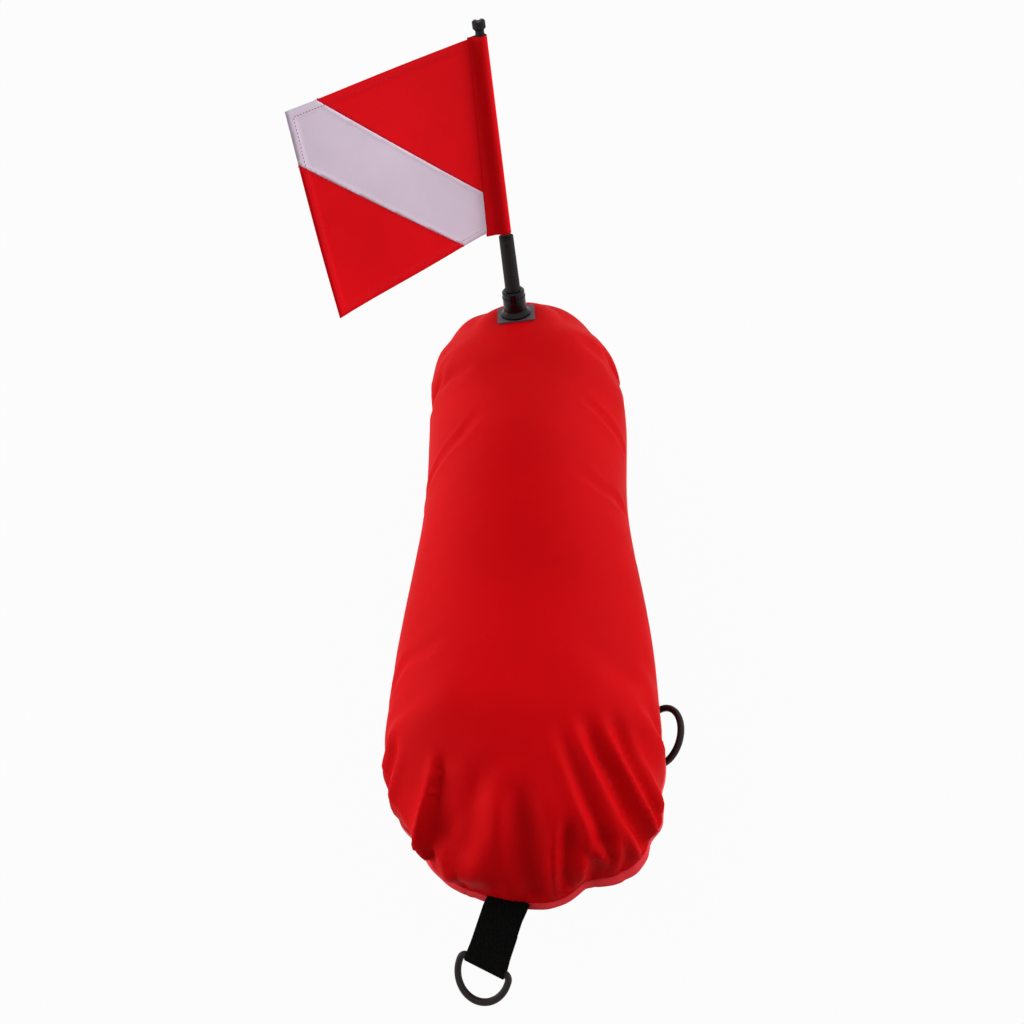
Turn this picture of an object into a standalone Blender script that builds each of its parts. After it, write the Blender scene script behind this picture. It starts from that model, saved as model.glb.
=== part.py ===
"""Dive flag float: an inflated torpedo float with a short mast and a diver-down flag.

Two coated nylon panels are welded face to face round a stadium outline and blown up.
A socket on top of the far end holds a two-piece mast with the flag on a sleeve, a
webbing strap at the near end holds a tow ring, four patches under the sides hold
larger rings, and an oral valve sits under the far end.

Metres, +Z up. The float lies along Y with its mast at +Y. The origin is the middle of
the flattened strip that it rests on.
"""

import math

import bmesh
import bpy
from mathutils import Matrix, Vector
from mathutils.bvhtree import BVHTree

PART_NAME = "dive_flag_float"

# Gaps and overruns shared by all pieces
GAP = 0.0003
CUT_OVERRUN = 0.004
MERGE = 0.00001
ROOM = 0.0005

# Inflated body: the weld line seen from above, and the cloth round it
HALF_LENGTH = 0.384
NEAR_HALF_WIDTH = 0.1295
WAIST_HALF_WIDTH = 0.1155
FAR_HALF_WIDTH = 0.1220
NEAR_CAP_DEPTH = 0.128
FAR_CAP_DEPTH = 0.130
NEAR_CAP_POWER = 2.3
FAR_CAP_POWER = 2.15
WAIST_Y = 0.050
NEAR_LOBE_Y = -0.170
FAR_LOBE_Y = 0.195
NEAR_POLE_SHIFT = 0.010
CLOTH_RADIUS = 0.1165
PANEL_THICKNESS = 0.0008
FLANGE_WIDTH = 0.0050
AXIS_HEIGHT = 0.1120

# Panel mesh: stations round the outline and rings from the weld to the spine
SIDE_STATIONS = 9
CAP_STATIONS = 30
STATIONS_PER_FOLD = 5
RING_SHARES = (0.975, 0.90, 0.76, 0.54, 0.21)
FOLD_DEPTH_SHARES = (0.30, 0.20, 0.105, 0.035, 0.0)
FOLD_PULL = 0.0030

# Mast place and socket
MAST_INSET = 0.100
MAST_TILT = math.radians(8.5)
SEAT_SINK = 0.0022
PLATE_WIDTH = 0.0460
PLATE_DEPTH = 0.0385
PLATE_TURN = math.radians(3.0)
PLATE_THICKNESS = 0.0018
PLATE_CORNER = 0.0030
PLATE_CORNER_STEPS = 2
SOCKET_FLANGE_RADIUS = 0.0184
SOCKET_FLANGE_HEIGHT = 0.0040
SOCKET_RADIUS = 0.0141
SOCKET_TOP_RADIUS = 0.0138
SOCKET_DOME_HEIGHT = 0.0066
SOCKET_HEIGHT = 0.0245
SOCKET_FLOOR = 0.0025
COLLAR_RADIUS = 0.0137
COLLAR_HEIGHT = 0.0092
COLLAR_ROUND = 0.0016
COLLAR_BEAD = 0.0006
COLLAR_BEAD_HEIGHT = 0.0016
MAST_CLEARANCE = 0.0003

# Mast
LOWER_RADIUS = 0.0095
LOWER_TOP_RADIUS = 0.0085
LOWER_TOP = 0.1000
LOWER_BORE = 0.0070
FOOT_HEIGHT = 0.0030
FOOT_SPIGOT = 0.0120
FOOT_ROUND = 0.0006
UPPER_RADIUS = 0.0058
UPPER_OVERLAP = 0.0450
UPPER_WALL = 0.0014
BUSH_LENGTH = 0.0062
BUSH_LIP = 0.0015
TIP_HEIGHT = 0.0142
TIP_NECK_RADIUS = 0.0046
TIP_KNOB_RADIUS = 0.0068
TIP_KNOB_LENGTH = 0.0084
TIP_KNOB_ROUND = 0.0012
TIP_SPIGOT = 0.0120
TIP_GROOVE_RADIUS = 0.0034
TIP_GROOVE_DEPTH = 0.0014
PIN_HEIGHT = 0.0920
PIN_TURN = math.radians(6.0)
PIN_RADIUS = 0.0016
PIN_PROUD = 0.0008
PIN_SIDES = 12

# Flag, laid out along the mast (up) and away from it (out)
FLAG_LOW = 0.1060
FLAG_HOIST = 0.2080
FLAG_FLY = 0.2310
FLAG_DROOP = 0.0100
FLAG_TURN = math.radians(222.0)
FLAG_THICKNESS = 0.0006
FLAG_WAVE = 0.0030
FLAG_CURL = 0.0040
FLAG_COLUMNS = 14
FLAG_ROWS = 12
FLAG_WAVES = 0.9
FLAG_MERGE = 0.0003
SLEEVE_STEPS = 14
SLEEVE_OPEN = math.radians(38.0)
SLEEVE_THICKNESS = 0.0006
SLEEVE_SLACK = 0.0004
SLEEVE_SEAM_OUT = 0.0160
SLEEVE_TAB_OUT = 0.0275
FLAG_TUCK = 0.0180
STRIPE_TOP_SHARE = 0.835
STRIPE_UPPER_HOIST_SHARE = 0.167
STRIPE_FLY_SHARE = 0.763
STRIPE_FOOT_SHARE = 0.231

# Webbing and rings
WEBBING_THICKNESS = 0.0014
NOSE_WEBBING_WIDTH = 0.0375
NOSE_STOCK_RADIUS = 0.0029
NOSE_RING_HALF = 0.0223
NOSE_RING_LEG = 0.0060
NOSE_STRAP_X = -0.0105
NOSE_STRAP_YAW = math.radians(-25.0)
NOSE_STRAP_DROOP = math.radians(27.0)
NOSE_HINGE_OUT = 0.0080
NOSE_HINGE_GAP = 0.00045
NOSE_BAR_OUT = 0.0420
NOSE_LOOP_EASE = 0.0110
NOSE_UNDER_START = 0.0120
NOSE_ROOT_STEPS = 6
NOSE_ROOT_ROOM = 0.0010
SIDE_WEBBING_WIDTH = 0.0470
SIDE_STOCK_RADIUS = 0.0033
SIDE_RING_HALF = 0.0277
SIDE_RING_LEG = 0.0100
RING_CORNER = 0.0045
RING_BOW_STEPS = 14
RING_CORNER_STEPS = 3
SIDE_FOOT_LENGTH = 0.0150
SIDE_FOOT_STEPS = 5
SIDE_FOOT_EASE = 0.0025
LOOP_STEPS = 8
TAB_WRAP = math.radians(115.0)
PATCH_RADIUS = 0.0320
PATCH_THICKNESS = 0.0008
PATCH_SIDES = 16
NEAR_RING_INSET = 0.1635
MID_RING_Y = 0.045
SIDE_DROP = math.radians(26.0)
SPLAYED_SWING = math.radians(75.0)
HANGING_SWING = math.radians(-52.0)

# Oral valve under the far end
VALVE_INSET = 0.040
VALVE_SINK = 0.0020
VALVE_PATCH_RADIUS = 0.0200
VALVE_NECK_RADIUS = 0.0075
VALVE_BORE_RADIUS = 0.0058
VALVE_OUTSIDE = 0.0060
VALVE_FLANGE_RADIUS = 0.0118
VALVE_FLANGE_DEPTH = 0.0075
VALVE_FLANGE_HEIGHT = 0.0016
VALVE_INSIDE = 0.0140
VALVE_FLOOR = 0.0015
VALVE_POST_RADIUS = 0.0020
VALVE_AIR_RADIUS = 0.0013
VALVE_AIR_OUT = 0.0038
SEAL_TOP = 0.0045
SEAL_HEIGHT = 0.0016
SEAL_WIDTH = 0.0008
VALVE_AIR_HOLES = 3
MOUTHPIECE_OUTER = 0.0055
MOUTHPIECE_PROUD = 0.0100
MOUTHPIECE_INSIDE = 0.0070
MOUTHPIECE_WALL = 0.0012
MOUTHPIECE_LIP = 0.0009
MOUTHPIECE_LIP_HEIGHT = 0.0022
MOUTHPIECE_CROWN = 0.0014

TURN_STEPS = 24
MAST_STEPS = 24
FINE_STEPS = 16

# Colours and finishes
RED_CLOTH = (0.60, 0.010, 0.014)
FLAG_RED = (0.66, 0.012, 0.016)
FLAG_WHITE = (0.70, 0.62, 0.70)
WEBBING_BLACK = (0.006, 0.006, 0.006)
MAST_BLACK = (0.018, 0.016, 0.017)
SOCKET_BLACK = (0.010, 0.010, 0.010)
RING_BLACK = (0.018, 0.012, 0.012)
PLATE_GREY = (0.22, 0.18, 0.20)
CLOTH_ROUGHNESS = 0.55
WEBBING_ROUGHNESS = 0.85
MAST_ROUGHNESS = 0.50
SOCKET_ROUGHNESS = 0.30
RING_ROUGHNESS = 0.45

WHOLE_TURN = 2.0 * math.pi
HALF_TURN = math.pi
QUARTER_TURN = 0.5 * math.pi
ALONG = Vector((0.0, 1.0, 0.0))


def clear_scene():
    for item in list(bpy.data.objects):
        bpy.data.objects.remove(item, do_unlink=True)


def make_collection(name):
    found = bpy.data.collections.get(name)
    if found is None:
        found = bpy.data.collections.new(name)
        bpy.context.scene.collection.children.link(found)
    return found


def make_material(name, colour, roughness):
    mat = bpy.data.materials.new(name)
    mat.use_nodes = True
    shader = mat.node_tree.nodes["Principled BSDF"]
    shader.inputs["Base Color"].default_value = (*colour, 1.0)
    shader.inputs["Roughness"].default_value = roughness
    shader.inputs["Metallic"].default_value = 0.0
    return mat


def add_object(name, data, mat=None, collection=None):
    item = bpy.data.objects.new(name, data)
    (collection or PARTS).objects.link(item)
    if mat is not None:
        data.materials.append(mat)
    return item


def add_bmesh(name, bm, mat=None, collection=None):
    bmesh.ops.recalc_face_normals(bm, faces=bm.faces)
    mesh = bpy.data.meshes.new(name)
    bm.to_mesh(mesh)
    bm.free()
    return add_object(name, mesh, mat, collection)


def make_cutter(item):
    item.hide_render = True
    item.display_type = "WIRE"
    return item


def add_solidify(item, thickness, offset):
    step = item.modifiers.new("thickness", "SOLIDIFY")
    step.thickness = thickness
    step.offset = offset
    step.use_even_offset = True


def turned(name, profile, mat, steps=TURN_STEPS):
    """A closed (radius, height) outline turned round its own Z."""
    bm = bmesh.new()
    verts = [bm.verts.new((radius, 0.0, height)) for radius, height in profile]
    for first, second in zip(verts, verts[1:] + verts[:1]):
        on_axis = first.co.x == 0.0 and second.co.x == 0.0
        if not on_axis:
            bm.edges.new((first, second))
    mesh = bpy.data.meshes.new(name)
    bm.to_mesh(mesh)
    bm.free()
    mesh.shade_smooth()
    item = add_object(name, mesh, mat)
    turn = item.modifiers.new("turn", "SCREW")
    turn.steps = steps
    turn.render_steps = steps
    turn.use_merge_vertices = True
    turn.merge_threshold = MERGE
    turn.use_normal_calculate = False
    turn.use_normal_flip = True
    return item


def closed_bar(name, points, radius, mat):
    """A round bar along a closed run of points."""
    curve = bpy.data.curves.new(name, "CURVE")
    curve.dimensions = "3D"
    curve.bevel_depth = radius
    curve.bevel_resolution = 2
    spline = curve.splines.new("POLY")
    spline.points.add(len(points) - 1)
    for slot, point in zip(spline.points, points):
        slot.co = (*point, 1.0)
    spline.use_cyclic_u = True
    return add_object(name, curve, mat)


def frame_at(place, forward, out):
    """A matrix whose X is forward and whose Z is out, square to each other."""
    z_axis = out.normalized()
    y_axis = z_axis.cross(forward).normalized()
    x_axis = y_axis.cross(z_axis)
    frame = Matrix((x_axis, y_axis, z_axis)).transposed().to_4x4()
    frame.translation = place
    return frame


def smooth_share(value):
    share = min(max(value, 0.0), 1.0)
    return share * share * (3.0 - 2.0 * share)


def half_width(y):
    """Half the distance between the two long runs of the weld."""
    near = smooth_share((WAIST_Y - y) / (WAIST_Y - NEAR_LOBE_Y))
    far = smooth_share((y - WAIST_Y) / (FAR_LOBE_Y - WAIST_Y))
    width = WAIST_HALF_WIDTH
    width += (NEAR_HALF_WIDTH - WAIST_HALF_WIDTH) * near
    width += (FAR_HALF_WIDTH - WAIST_HALF_WIDTH) * far
    return width


def crown_height(y):
    """The cloth keeps its width, so a wider section is a flatter one."""
    return math.sqrt(2.0 * CLOTH_RADIUS ** 2 - half_width(y) ** 2)


NEAR_CENTRE_Y = NEAR_CAP_DEPTH - HALF_LENGTH
FAR_CENTRE_Y = HALF_LENGTH - FAR_CAP_DEPTH
MAST_Y = HALF_LENGTH - MAST_INSET
VALVE_Y = HALF_LENGTH - VALVE_INSET
NEAR_RING_Y = NEAR_RING_INSET - HALF_LENGTH


def cap_point(angle, width, depth, power):
    """A point on a rounded cap and the way out from it: power 2 gives an ellipse."""
    across = abs(math.cos(angle)) ** (2.0 / power)
    along = abs(math.sin(angle)) ** (2.0 / power)
    place = Vector((math.copysign(width * across, math.cos(angle)),
                    math.copysign(depth * along, math.sin(angle))))
    out = Vector((math.copysign(across ** (power - 1.0) / width, math.cos(angle)),
                  math.copysign(along ** (power - 1.0) / depth, math.sin(angle))))
    return place, out.normalized()


def stations():
    """Weld points, spine points, outward directions and fold weights, in order."""
    found = []
    for i in range(SIDE_STATIONS):
        y = NEAR_CENTRE_Y + (FAR_CENTRE_Y - NEAR_CENTRE_Y) * i / SIDE_STATIONS
        found.append((Vector((half_width(y), y)), y, Vector((1.0, 0.0)), 0.0))
    for i in range(CAP_STATIONS):
        angle = HALF_TURN * i / CAP_STATIONS
        fold = 0.5 - 0.5 * math.cos(WHOLE_TURN * i / STATIONS_PER_FOLD)
        place, out = cap_point(angle, FAR_HALF_WIDTH, FAR_CAP_DEPTH, FAR_CAP_POWER)
        place += Vector((0.0, FAR_CENTRE_Y))
        found.append((place, FAR_CENTRE_Y, out, fold))
    for i in range(SIDE_STATIONS):
        y = FAR_CENTRE_Y + (NEAR_CENTRE_Y - FAR_CENTRE_Y) * i / SIDE_STATIONS
        found.append((Vector((-half_width(y), y)), y, Vector((-1.0, 0.0)), 0.0))
    for i in range(CAP_STATIONS):
        angle = HALF_TURN + HALF_TURN * i / CAP_STATIONS
        fold = 0.5 - 0.5 * math.cos(WHOLE_TURN * i / STATIONS_PER_FOLD)
        lean = NEAR_POLE_SHIFT * math.sin(angle) ** 2
        place, out = cap_point(angle, NEAR_HALF_WIDTH, NEAR_CAP_DEPTH, NEAR_CAP_POWER)
        place += Vector((lean, NEAR_CENTRE_Y))
        found.append((place, NEAR_CENTRE_Y, out, fold))
    return found


def seat_frame():
    """Where the mast stands: on a flat let into the crown of the far end."""
    share = (MAST_Y - FAR_CENTRE_Y) / FAR_CAP_DEPTH
    height = AXIS_HEIGHT + crown_height(FAR_CENTRE_Y) * math.sqrt(1.0 - share ** 2)
    mast_way = Vector((0.0, math.sin(MAST_TILT), math.cos(MAST_TILT)))
    place = Vector((0.0, MAST_Y, height)) - mast_way * SEAT_SINK
    return frame_at(place, Vector((1.0, 0.0, 0.0)), mast_way)


def valve_frame():
    """Where the valve stands: on a flat let into the underside of the far end."""
    share = (VALVE_Y - FAR_CENTRE_Y) / FAR_CAP_DEPTH
    crown = crown_height(FAR_CENTRE_Y)
    depth = crown * math.sqrt(1.0 - share ** 2)
    out = Vector((0.0, share / FAR_CAP_DEPTH, -depth / crown ** 2)).normalized()
    place = Vector((0.0, VALVE_Y, AXIS_HEIGHT - depth)) - out * VALVE_SINK
    return frame_at(place, Vector((1.0, 0.0, 0.0)), out)


def panel_surface(side):
    """The outer face of one panel, flange and all: side is 1 above and -1 below."""
    bm = bmesh.new()
    seat = seat_frame() if side > 0 else valve_frame()
    seat_out = seat.col[2].to_3d()
    lip = PANEL_THICKNESS + 0.5 * GAP
    rings = []
    run = stations()

    def place(plan, height):
        point = Vector((plan.x, plan.y, AXIS_HEIGHT + side * height))
        above = (point - seat.translation).dot(seat_out)
        if above > 0.0:
            point -= seat_out * above
        point.z = max(point.z, 0.0)
        return bm.verts.new(point)

    flange = []
    weld = []
    for weld_point, _, out, fold in run:
        pulled = weld_point - out * (FOLD_PULL * fold)
        flange.append(place(pulled + out * FLANGE_WIDTH, lip))
        weld.append(place(pulled, lip))
    rings.append(flange)
    rings.append(weld)
    for share, fold_share in zip(RING_SHARES, FOLD_DEPTH_SHARES):
        ring = []
        for weld_point, spine_y, out, fold in run:
            pulled = weld_point - out * (FOLD_PULL * fold)
            spine = Vector((0.0, spine_y))
            plan = spine + (pulled - spine) * share
            crown = crown_height(spine_y)
            height = crown * math.sqrt(1.0 - share ** 2) * (1.0 - fold_share * fold)
            ring.append(place(plan, max(height, lip)))
        rings.append(ring)
    for outer, inner in zip(rings, rings[1:]):
        for i in range(len(run)):
            j = (i + 1) % len(run)
            bm.faces.new((outer[i], outer[j], inner[j], inner[i]))
    spine_places = [NEAR_CENTRE_Y + (FAR_CENTRE_Y - NEAR_CENTRE_Y) * i / SIDE_STATIONS
                    for i in range(SIDE_STATIONS + 1)]
    spine = [place(Vector((0.0, y)), crown_height(y)) for y in spine_places]
    last = rings[-1]
    count = len(run)
    far_start = SIDE_STATIONS
    left_start = SIDE_STATIONS + CAP_STATIONS
    near_start = left_start + SIDE_STATIONS
    for i in range(SIDE_STATIONS):
        bm.faces.new((last[i], last[i + 1], spine[i + 1], spine[i]))
        left = left_start + i
        back = SIDE_STATIONS - i
        bm.faces.new((last[left], last[left + 1], spine[back - 1], spine[back]))
    for i in range(CAP_STATIONS):
        far = far_start + i
        bm.faces.new((last[far], last[far + 1], spine[SIDE_STATIONS]))
        near = near_start + i
        bm.faces.new((last[near], last[(near + 1) % count], spine[0]))
    bmesh.ops.triangulate(bm, faces=bm.faces)
    bmesh.ops.recalc_face_normals(bm, faces=bm.faces)
    crown_face = max(bm.faces, key=lambda face: side * face.calc_center_median().z)
    if crown_face.normal.z * side < 0.0:
        bmesh.ops.reverse_faces(bm, faces=bm.faces)
    return bm


def make_panel(name, side, mat):
    bm = panel_surface(side)
    mesh = bpy.data.meshes.new(name)
    bm.to_mesh(mesh)
    bm.free()
    mesh.shade_smooth()
    item = add_object(name, mesh, mat)
    add_solidify(item, PANEL_THICKNESS, -1.0)
    return item


def surface_patch(name, frame, radius, side, mat):
    """A round patch cut out of a panel's outer face, lifted clear of it and thickened."""
    bm = panel_surface(side)
    centre = frame.translation
    across = frame.col[0].to_3d()
    along = frame.col[1].to_3d()
    out = frame.col[2].to_3d()
    ways = [across * math.cos(WHOLE_TURN * i / PATCH_SIDES)
            + along * math.sin(WHOLE_TURN * i / PATCH_SIDES) for i in range(PATCH_SIDES)]
    for way in ways + [-out]:
        bmesh.ops.bisect_plane(bm, geom=bm.verts[:] + bm.edges[:] + bm.faces[:],
                               dist=MERGE, plane_co=centre + way * radius,
                               plane_no=way, clear_outer=True)
    bmesh.ops.remove_doubles(bm, verts=bm.verts, dist=MERGE)
    bm.normal_update()
    ways_out = [vert.normal.copy() for vert in bm.verts]
    for vert, way in zip(bm.verts, ways_out):
        vert.co += way * GAP
    mesh = bpy.data.meshes.new(name)
    bm.to_mesh(mesh)
    bm.free()
    item = add_object(name, mesh, mat)
    add_solidify(item, PATCH_THICKNESS, 1.0)
    return item


def surface_height(tree, frame, x, y):
    """How far the panel's face stands above the frame's own flat at one place."""
    out = frame.col[2].to_3d()
    start = frame @ Vector((x, y, PATCH_RADIUS))
    hit = tree.ray_cast(start, -out)[0]
    return (frame.inverted() @ hit).z


def ring_points(half, leg):
    """A D: a straight bar along Y at X = 0 and a round bow towards +X."""
    corner = []
    for i in range(RING_CORNER_STEPS + 1):
        angle = QUARTER_TURN * i / RING_CORNER_STEPS
        corner.append((RING_CORNER - RING_CORNER * math.cos(angle),
                       half - RING_CORNER + RING_CORNER * math.sin(angle)))
    low = [Vector((x, -y, 0.0)) for x, y in reversed(corner)]
    high = [Vector((x, y, 0.0)) for x, y in corner]
    bow = []
    for i in range(RING_BOW_STEPS + 1):
        angle = HALF_TURN * i / RING_BOW_STEPS
        bow.append(Vector((leg + half * math.sin(angle), half * math.cos(angle), 0.0)))
    return low + high + bow


def make_ring(name, half, leg, stock, frame, mat):
    ring = closed_bar(name, ring_points(half, leg), stock, mat)
    ring.matrix_world = frame
    return ring


def strip_solid(name, path, width, thickness, mat):
    """A flat strap: a path in X and Z, given its width along Y and its thickness."""
    bm = bmesh.new()
    low = [bm.verts.new((x, -0.5 * width, z)) for x, z in path]
    high = [bm.verts.new((x, 0.5 * width, z)) for x, z in path]
    for i in range(len(path) - 1):
        bm.faces.new((low[i], low[i + 1], high[i + 1], high[i]))
    mesh = bpy.data.meshes.new(name)
    bm.to_mesh(mesh)
    bm.free()
    item = add_object(name, mesh, mat)
    add_solidify(item, thickness, 0.0)
    return item


def pierce(item, name, frame, radius, low, high, sides=TURN_STEPS):
    """Cut a round hole along the frame's Z, from low to high."""
    bm = bmesh.new()
    bmesh.ops.create_cone(bm, cap_ends=True, segments=sides, radius1=radius,
                          radius2=radius, depth=high - low)
    bmesh.ops.translate(bm, verts=bm.verts, vec=Vector((0.0, 0.0, 0.5 * (low + high))))
    cutter = make_cutter(add_bmesh(name, bm, collection=CUTTERS))
    cutter.matrix_world = frame
    cut = item.modifiers.new("cut", "BOOLEAN")
    cut.operation = "DIFFERENCE"
    cut.solver = "EXACT"
    cut.object = cutter


def panel_tree(*sides):
    """The outer faces of one or both panels, to rest pieces on."""
    verts, faces = [], []
    for side in sides:
        bm = panel_surface(side)
        bm.verts.index_update()
        start = len(verts)
        verts += [vert.co.copy() for vert in bm.verts]
        faces += [[start + vert.index for vert in face.verts] for face in bm.faces]
        bm.free()
    return BVHTree.FromPolygons(verts, faces)


# Mast plate, socket and collar, all in the seat's frame
def make_plate(frame, mat):
    bm = bmesh.new()
    bmesh.ops.create_cube(bm, size=1.0)
    for vert in bm.verts:
        vert.co.x *= PLATE_WIDTH
        vert.co.y *= PLATE_DEPTH
        vert.co.z = GAP + (PLATE_THICKNESS if vert.co.z > 0.0 else 0.0)
    corners = [edge for edge in bm.edges
               if abs(edge.verts[0].co.z - edge.verts[1].co.z) > 0.5 * PLATE_THICKNESS]
    bmesh.ops.bevel(bm, geom=corners, offset=PLATE_CORNER, offset_type="OFFSET",
                    segments=PLATE_CORNER_STEPS, profile=0.5, affect="EDGES")
    item = add_bmesh("mast_plate", bm, mat)
    item.matrix_world = frame @ Matrix.Rotation(PLATE_TURN, 4, "Z")


def make_socket(frame, mat):
    bottom = PLATE_THICKNESS + 2.0 * GAP
    bore = LOWER_RADIUS + MAST_CLEARANCE
    dome = 0.5 * (SOCKET_FLANGE_RADIUS + SOCKET_RADIUS)
    profile = [
        (0.0, bottom),
        (SOCKET_FLANGE_RADIUS, bottom),
        (SOCKET_FLANGE_RADIUS, bottom + 0.5 * SOCKET_FLANGE_HEIGHT),
        (dome, bottom + SOCKET_FLANGE_HEIGHT),
        (SOCKET_RADIUS, bottom + SOCKET_DOME_HEIGHT),
        (SOCKET_TOP_RADIUS, SOCKET_HEIGHT),
        (bore, SOCKET_HEIGHT),
        (bore, bottom + SOCKET_FLOOR),
        (0.0, bottom + SOCKET_FLOOR),
    ]
    socket = turned("mast_socket", profile, mat, MAST_STEPS)
    socket.matrix_world = frame
    return bottom + SOCKET_FLOOR


def make_collar(frame, mat):
    bore = LOWER_RADIUS + MAST_CLEARANCE
    low = SOCKET_HEIGHT + GAP
    high = low + COLLAR_HEIGHT
    profile = [
        (bore, low),
        (COLLAR_RADIUS + COLLAR_BEAD, low),
        (COLLAR_RADIUS + COLLAR_BEAD, low + COLLAR_BEAD_HEIGHT),
        (COLLAR_RADIUS, low + COLLAR_BEAD_HEIGHT),
        (COLLAR_RADIUS, high - COLLAR_ROUND),
        (COLLAR_RADIUS - COLLAR_ROUND, high),
        (bore, high),
    ]
    collar = turned("socket_collar", profile, mat, MAST_STEPS)
    collar.matrix_world = frame


def make_mast(frame, floor, mat, knob_mat):
    foot_low = floor + GAP
    tube_low = foot_low + FOOT_HEIGHT + GAP
    foot_profile = [
        (0.0, foot_low),
        (LOWER_RADIUS - FOOT_ROUND, foot_low),
        (LOWER_RADIUS, foot_low + FOOT_ROUND),
        (LOWER_RADIUS, foot_low + FOOT_HEIGHT),
        (LOWER_BORE - GAP, foot_low + FOOT_HEIGHT),
        (LOWER_BORE - GAP, foot_low + FOOT_HEIGHT + FOOT_SPIGOT),
        (0.0, foot_low + FOOT_HEIGHT + FOOT_SPIGOT),
    ]
    foot = turned("mast_foot", foot_profile, mat, MAST_STEPS)
    foot.matrix_world = frame
    lower_profile = [
        (LOWER_BORE, tube_low),
        (LOWER_RADIUS, tube_low),
        (LOWER_TOP_RADIUS, LOWER_TOP),
        (LOWER_BORE, LOWER_TOP),
    ]
    lower = turned("lower_mast_tube", lower_profile, mat, MAST_STEPS)
    lower.matrix_world = frame
    bush_inner = UPPER_RADIUS + GAP
    bush_profile = [
        (bush_inner, LOWER_TOP - BUSH_LENGTH),
        (LOWER_BORE - GAP, LOWER_TOP - BUSH_LENGTH),
        (LOWER_BORE - GAP, LOWER_TOP + GAP),
        (LOWER_TOP_RADIUS, LOWER_TOP + GAP),
        (LOWER_TOP_RADIUS, LOWER_TOP + GAP + BUSH_LIP),
        (bush_inner, LOWER_TOP + GAP + BUSH_LIP),
    ]
    bush = turned("mast_bush", bush_profile, mat, MAST_STEPS)
    bush.matrix_world = frame
    upper_low = LOWER_TOP - UPPER_OVERLAP
    upper_high = FLAG_LOW + FLAG_HOIST
    upper_bore = UPPER_RADIUS - UPPER_WALL
    upper_profile = [
        (upper_bore, upper_low),
        (UPPER_RADIUS, upper_low),
        (UPPER_RADIUS, upper_high),
        (upper_bore, upper_high),
    ]
    upper = turned("upper_mast_tube", upper_profile, mat, FINE_STEPS)
    upper.matrix_world = frame
    tip_low = upper_high + GAP
    mast_top = upper_high + TIP_HEIGHT
    knob_low = mast_top - TIP_KNOB_LENGTH
    tip_profile = [
        (0.0, tip_low - TIP_SPIGOT),
        (upper_bore - GAP, tip_low - TIP_SPIGOT),
        (upper_bore - GAP, tip_low),
        (UPPER_RADIUS, tip_low),
        (TIP_NECK_RADIUS, tip_low + TIP_KNOB_ROUND),
        (TIP_NECK_RADIUS, knob_low - TIP_KNOB_ROUND),
        (TIP_KNOB_RADIUS, knob_low + TIP_KNOB_ROUND),
        (TIP_KNOB_RADIUS, mast_top - TIP_KNOB_ROUND),
        (TIP_KNOB_RADIUS - TIP_KNOB_ROUND, mast_top),
        (0.0, mast_top),
    ]
    tip = turned("mast_tip", tip_profile, knob_mat, FINE_STEPS)
    tip.matrix_world = frame
    turn = Matrix.Rotation(PIN_TURN, 4, "Z") @ Matrix.Rotation(QUARTER_TURN, 4, "X")
    groove_height = mast_top + TIP_GROOVE_RADIUS - TIP_GROOVE_DEPTH
    groove_frame = frame @ Matrix.Translation((0.0, 0.0, groove_height)) @ turn
    groove_reach = TIP_KNOB_RADIUS + CUT_OVERRUN
    pierce(tip, "tip_groove", groove_frame, TIP_GROOVE_RADIUS, -groove_reach, groove_reach,
           sides=FINE_STEPS)
    # The cross pin that holds the two tubes together
    pin_frame = frame @ Matrix.Translation((0.0, 0.0, PIN_HEIGHT)) @ turn
    pin_half = LOWER_TOP_RADIUS + PIN_PROUD
    bm = bmesh.new()
    bmesh.ops.create_cone(bm, cap_ends=True, segments=PIN_SIDES, radius1=PIN_RADIUS,
                          radius2=PIN_RADIUS, depth=2.0 * pin_half)
    pin = add_bmesh("mast_pin", bm, mat)
    pin.matrix_world = pin_frame
    reach = LOWER_RADIUS + CUT_OVERRUN
    pierce(lower, "lower_pin_hole", pin_frame, PIN_RADIUS + GAP, -reach, reach,
           sides=PIN_SIDES)
    pierce(upper, "upper_pin_hole", pin_frame, PIN_RADIUS + GAP, -reach, reach,
           sides=PIN_SIDES)


def flag_frame(seat):
    """X out along the flag, Z up the mast, origin on the mast at the flag's foot."""
    turn = Matrix.Rotation(FLAG_TURN, 4, "Z")
    return seat @ Matrix.Translation((0.0, 0.0, FLAG_LOW)) @ turn


def flag_ripple(out, up):
    """How far the cloth stands off its flat, in its own normal direction."""
    reach = max(out - FLAG_TUCK - SLEEVE_TAB_OUT + SLEEVE_SEAM_OUT, 0.0) / FLAG_FLY
    height = up / FLAG_HOIST
    wave = FLAG_WAVE * reach * math.sin(WHOLE_TURN * (FLAG_WAVES * reach - 0.5 * height))
    corner = FLAG_CURL * (reach * (1.0 - height)) ** 2
    return wave + corner


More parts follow.
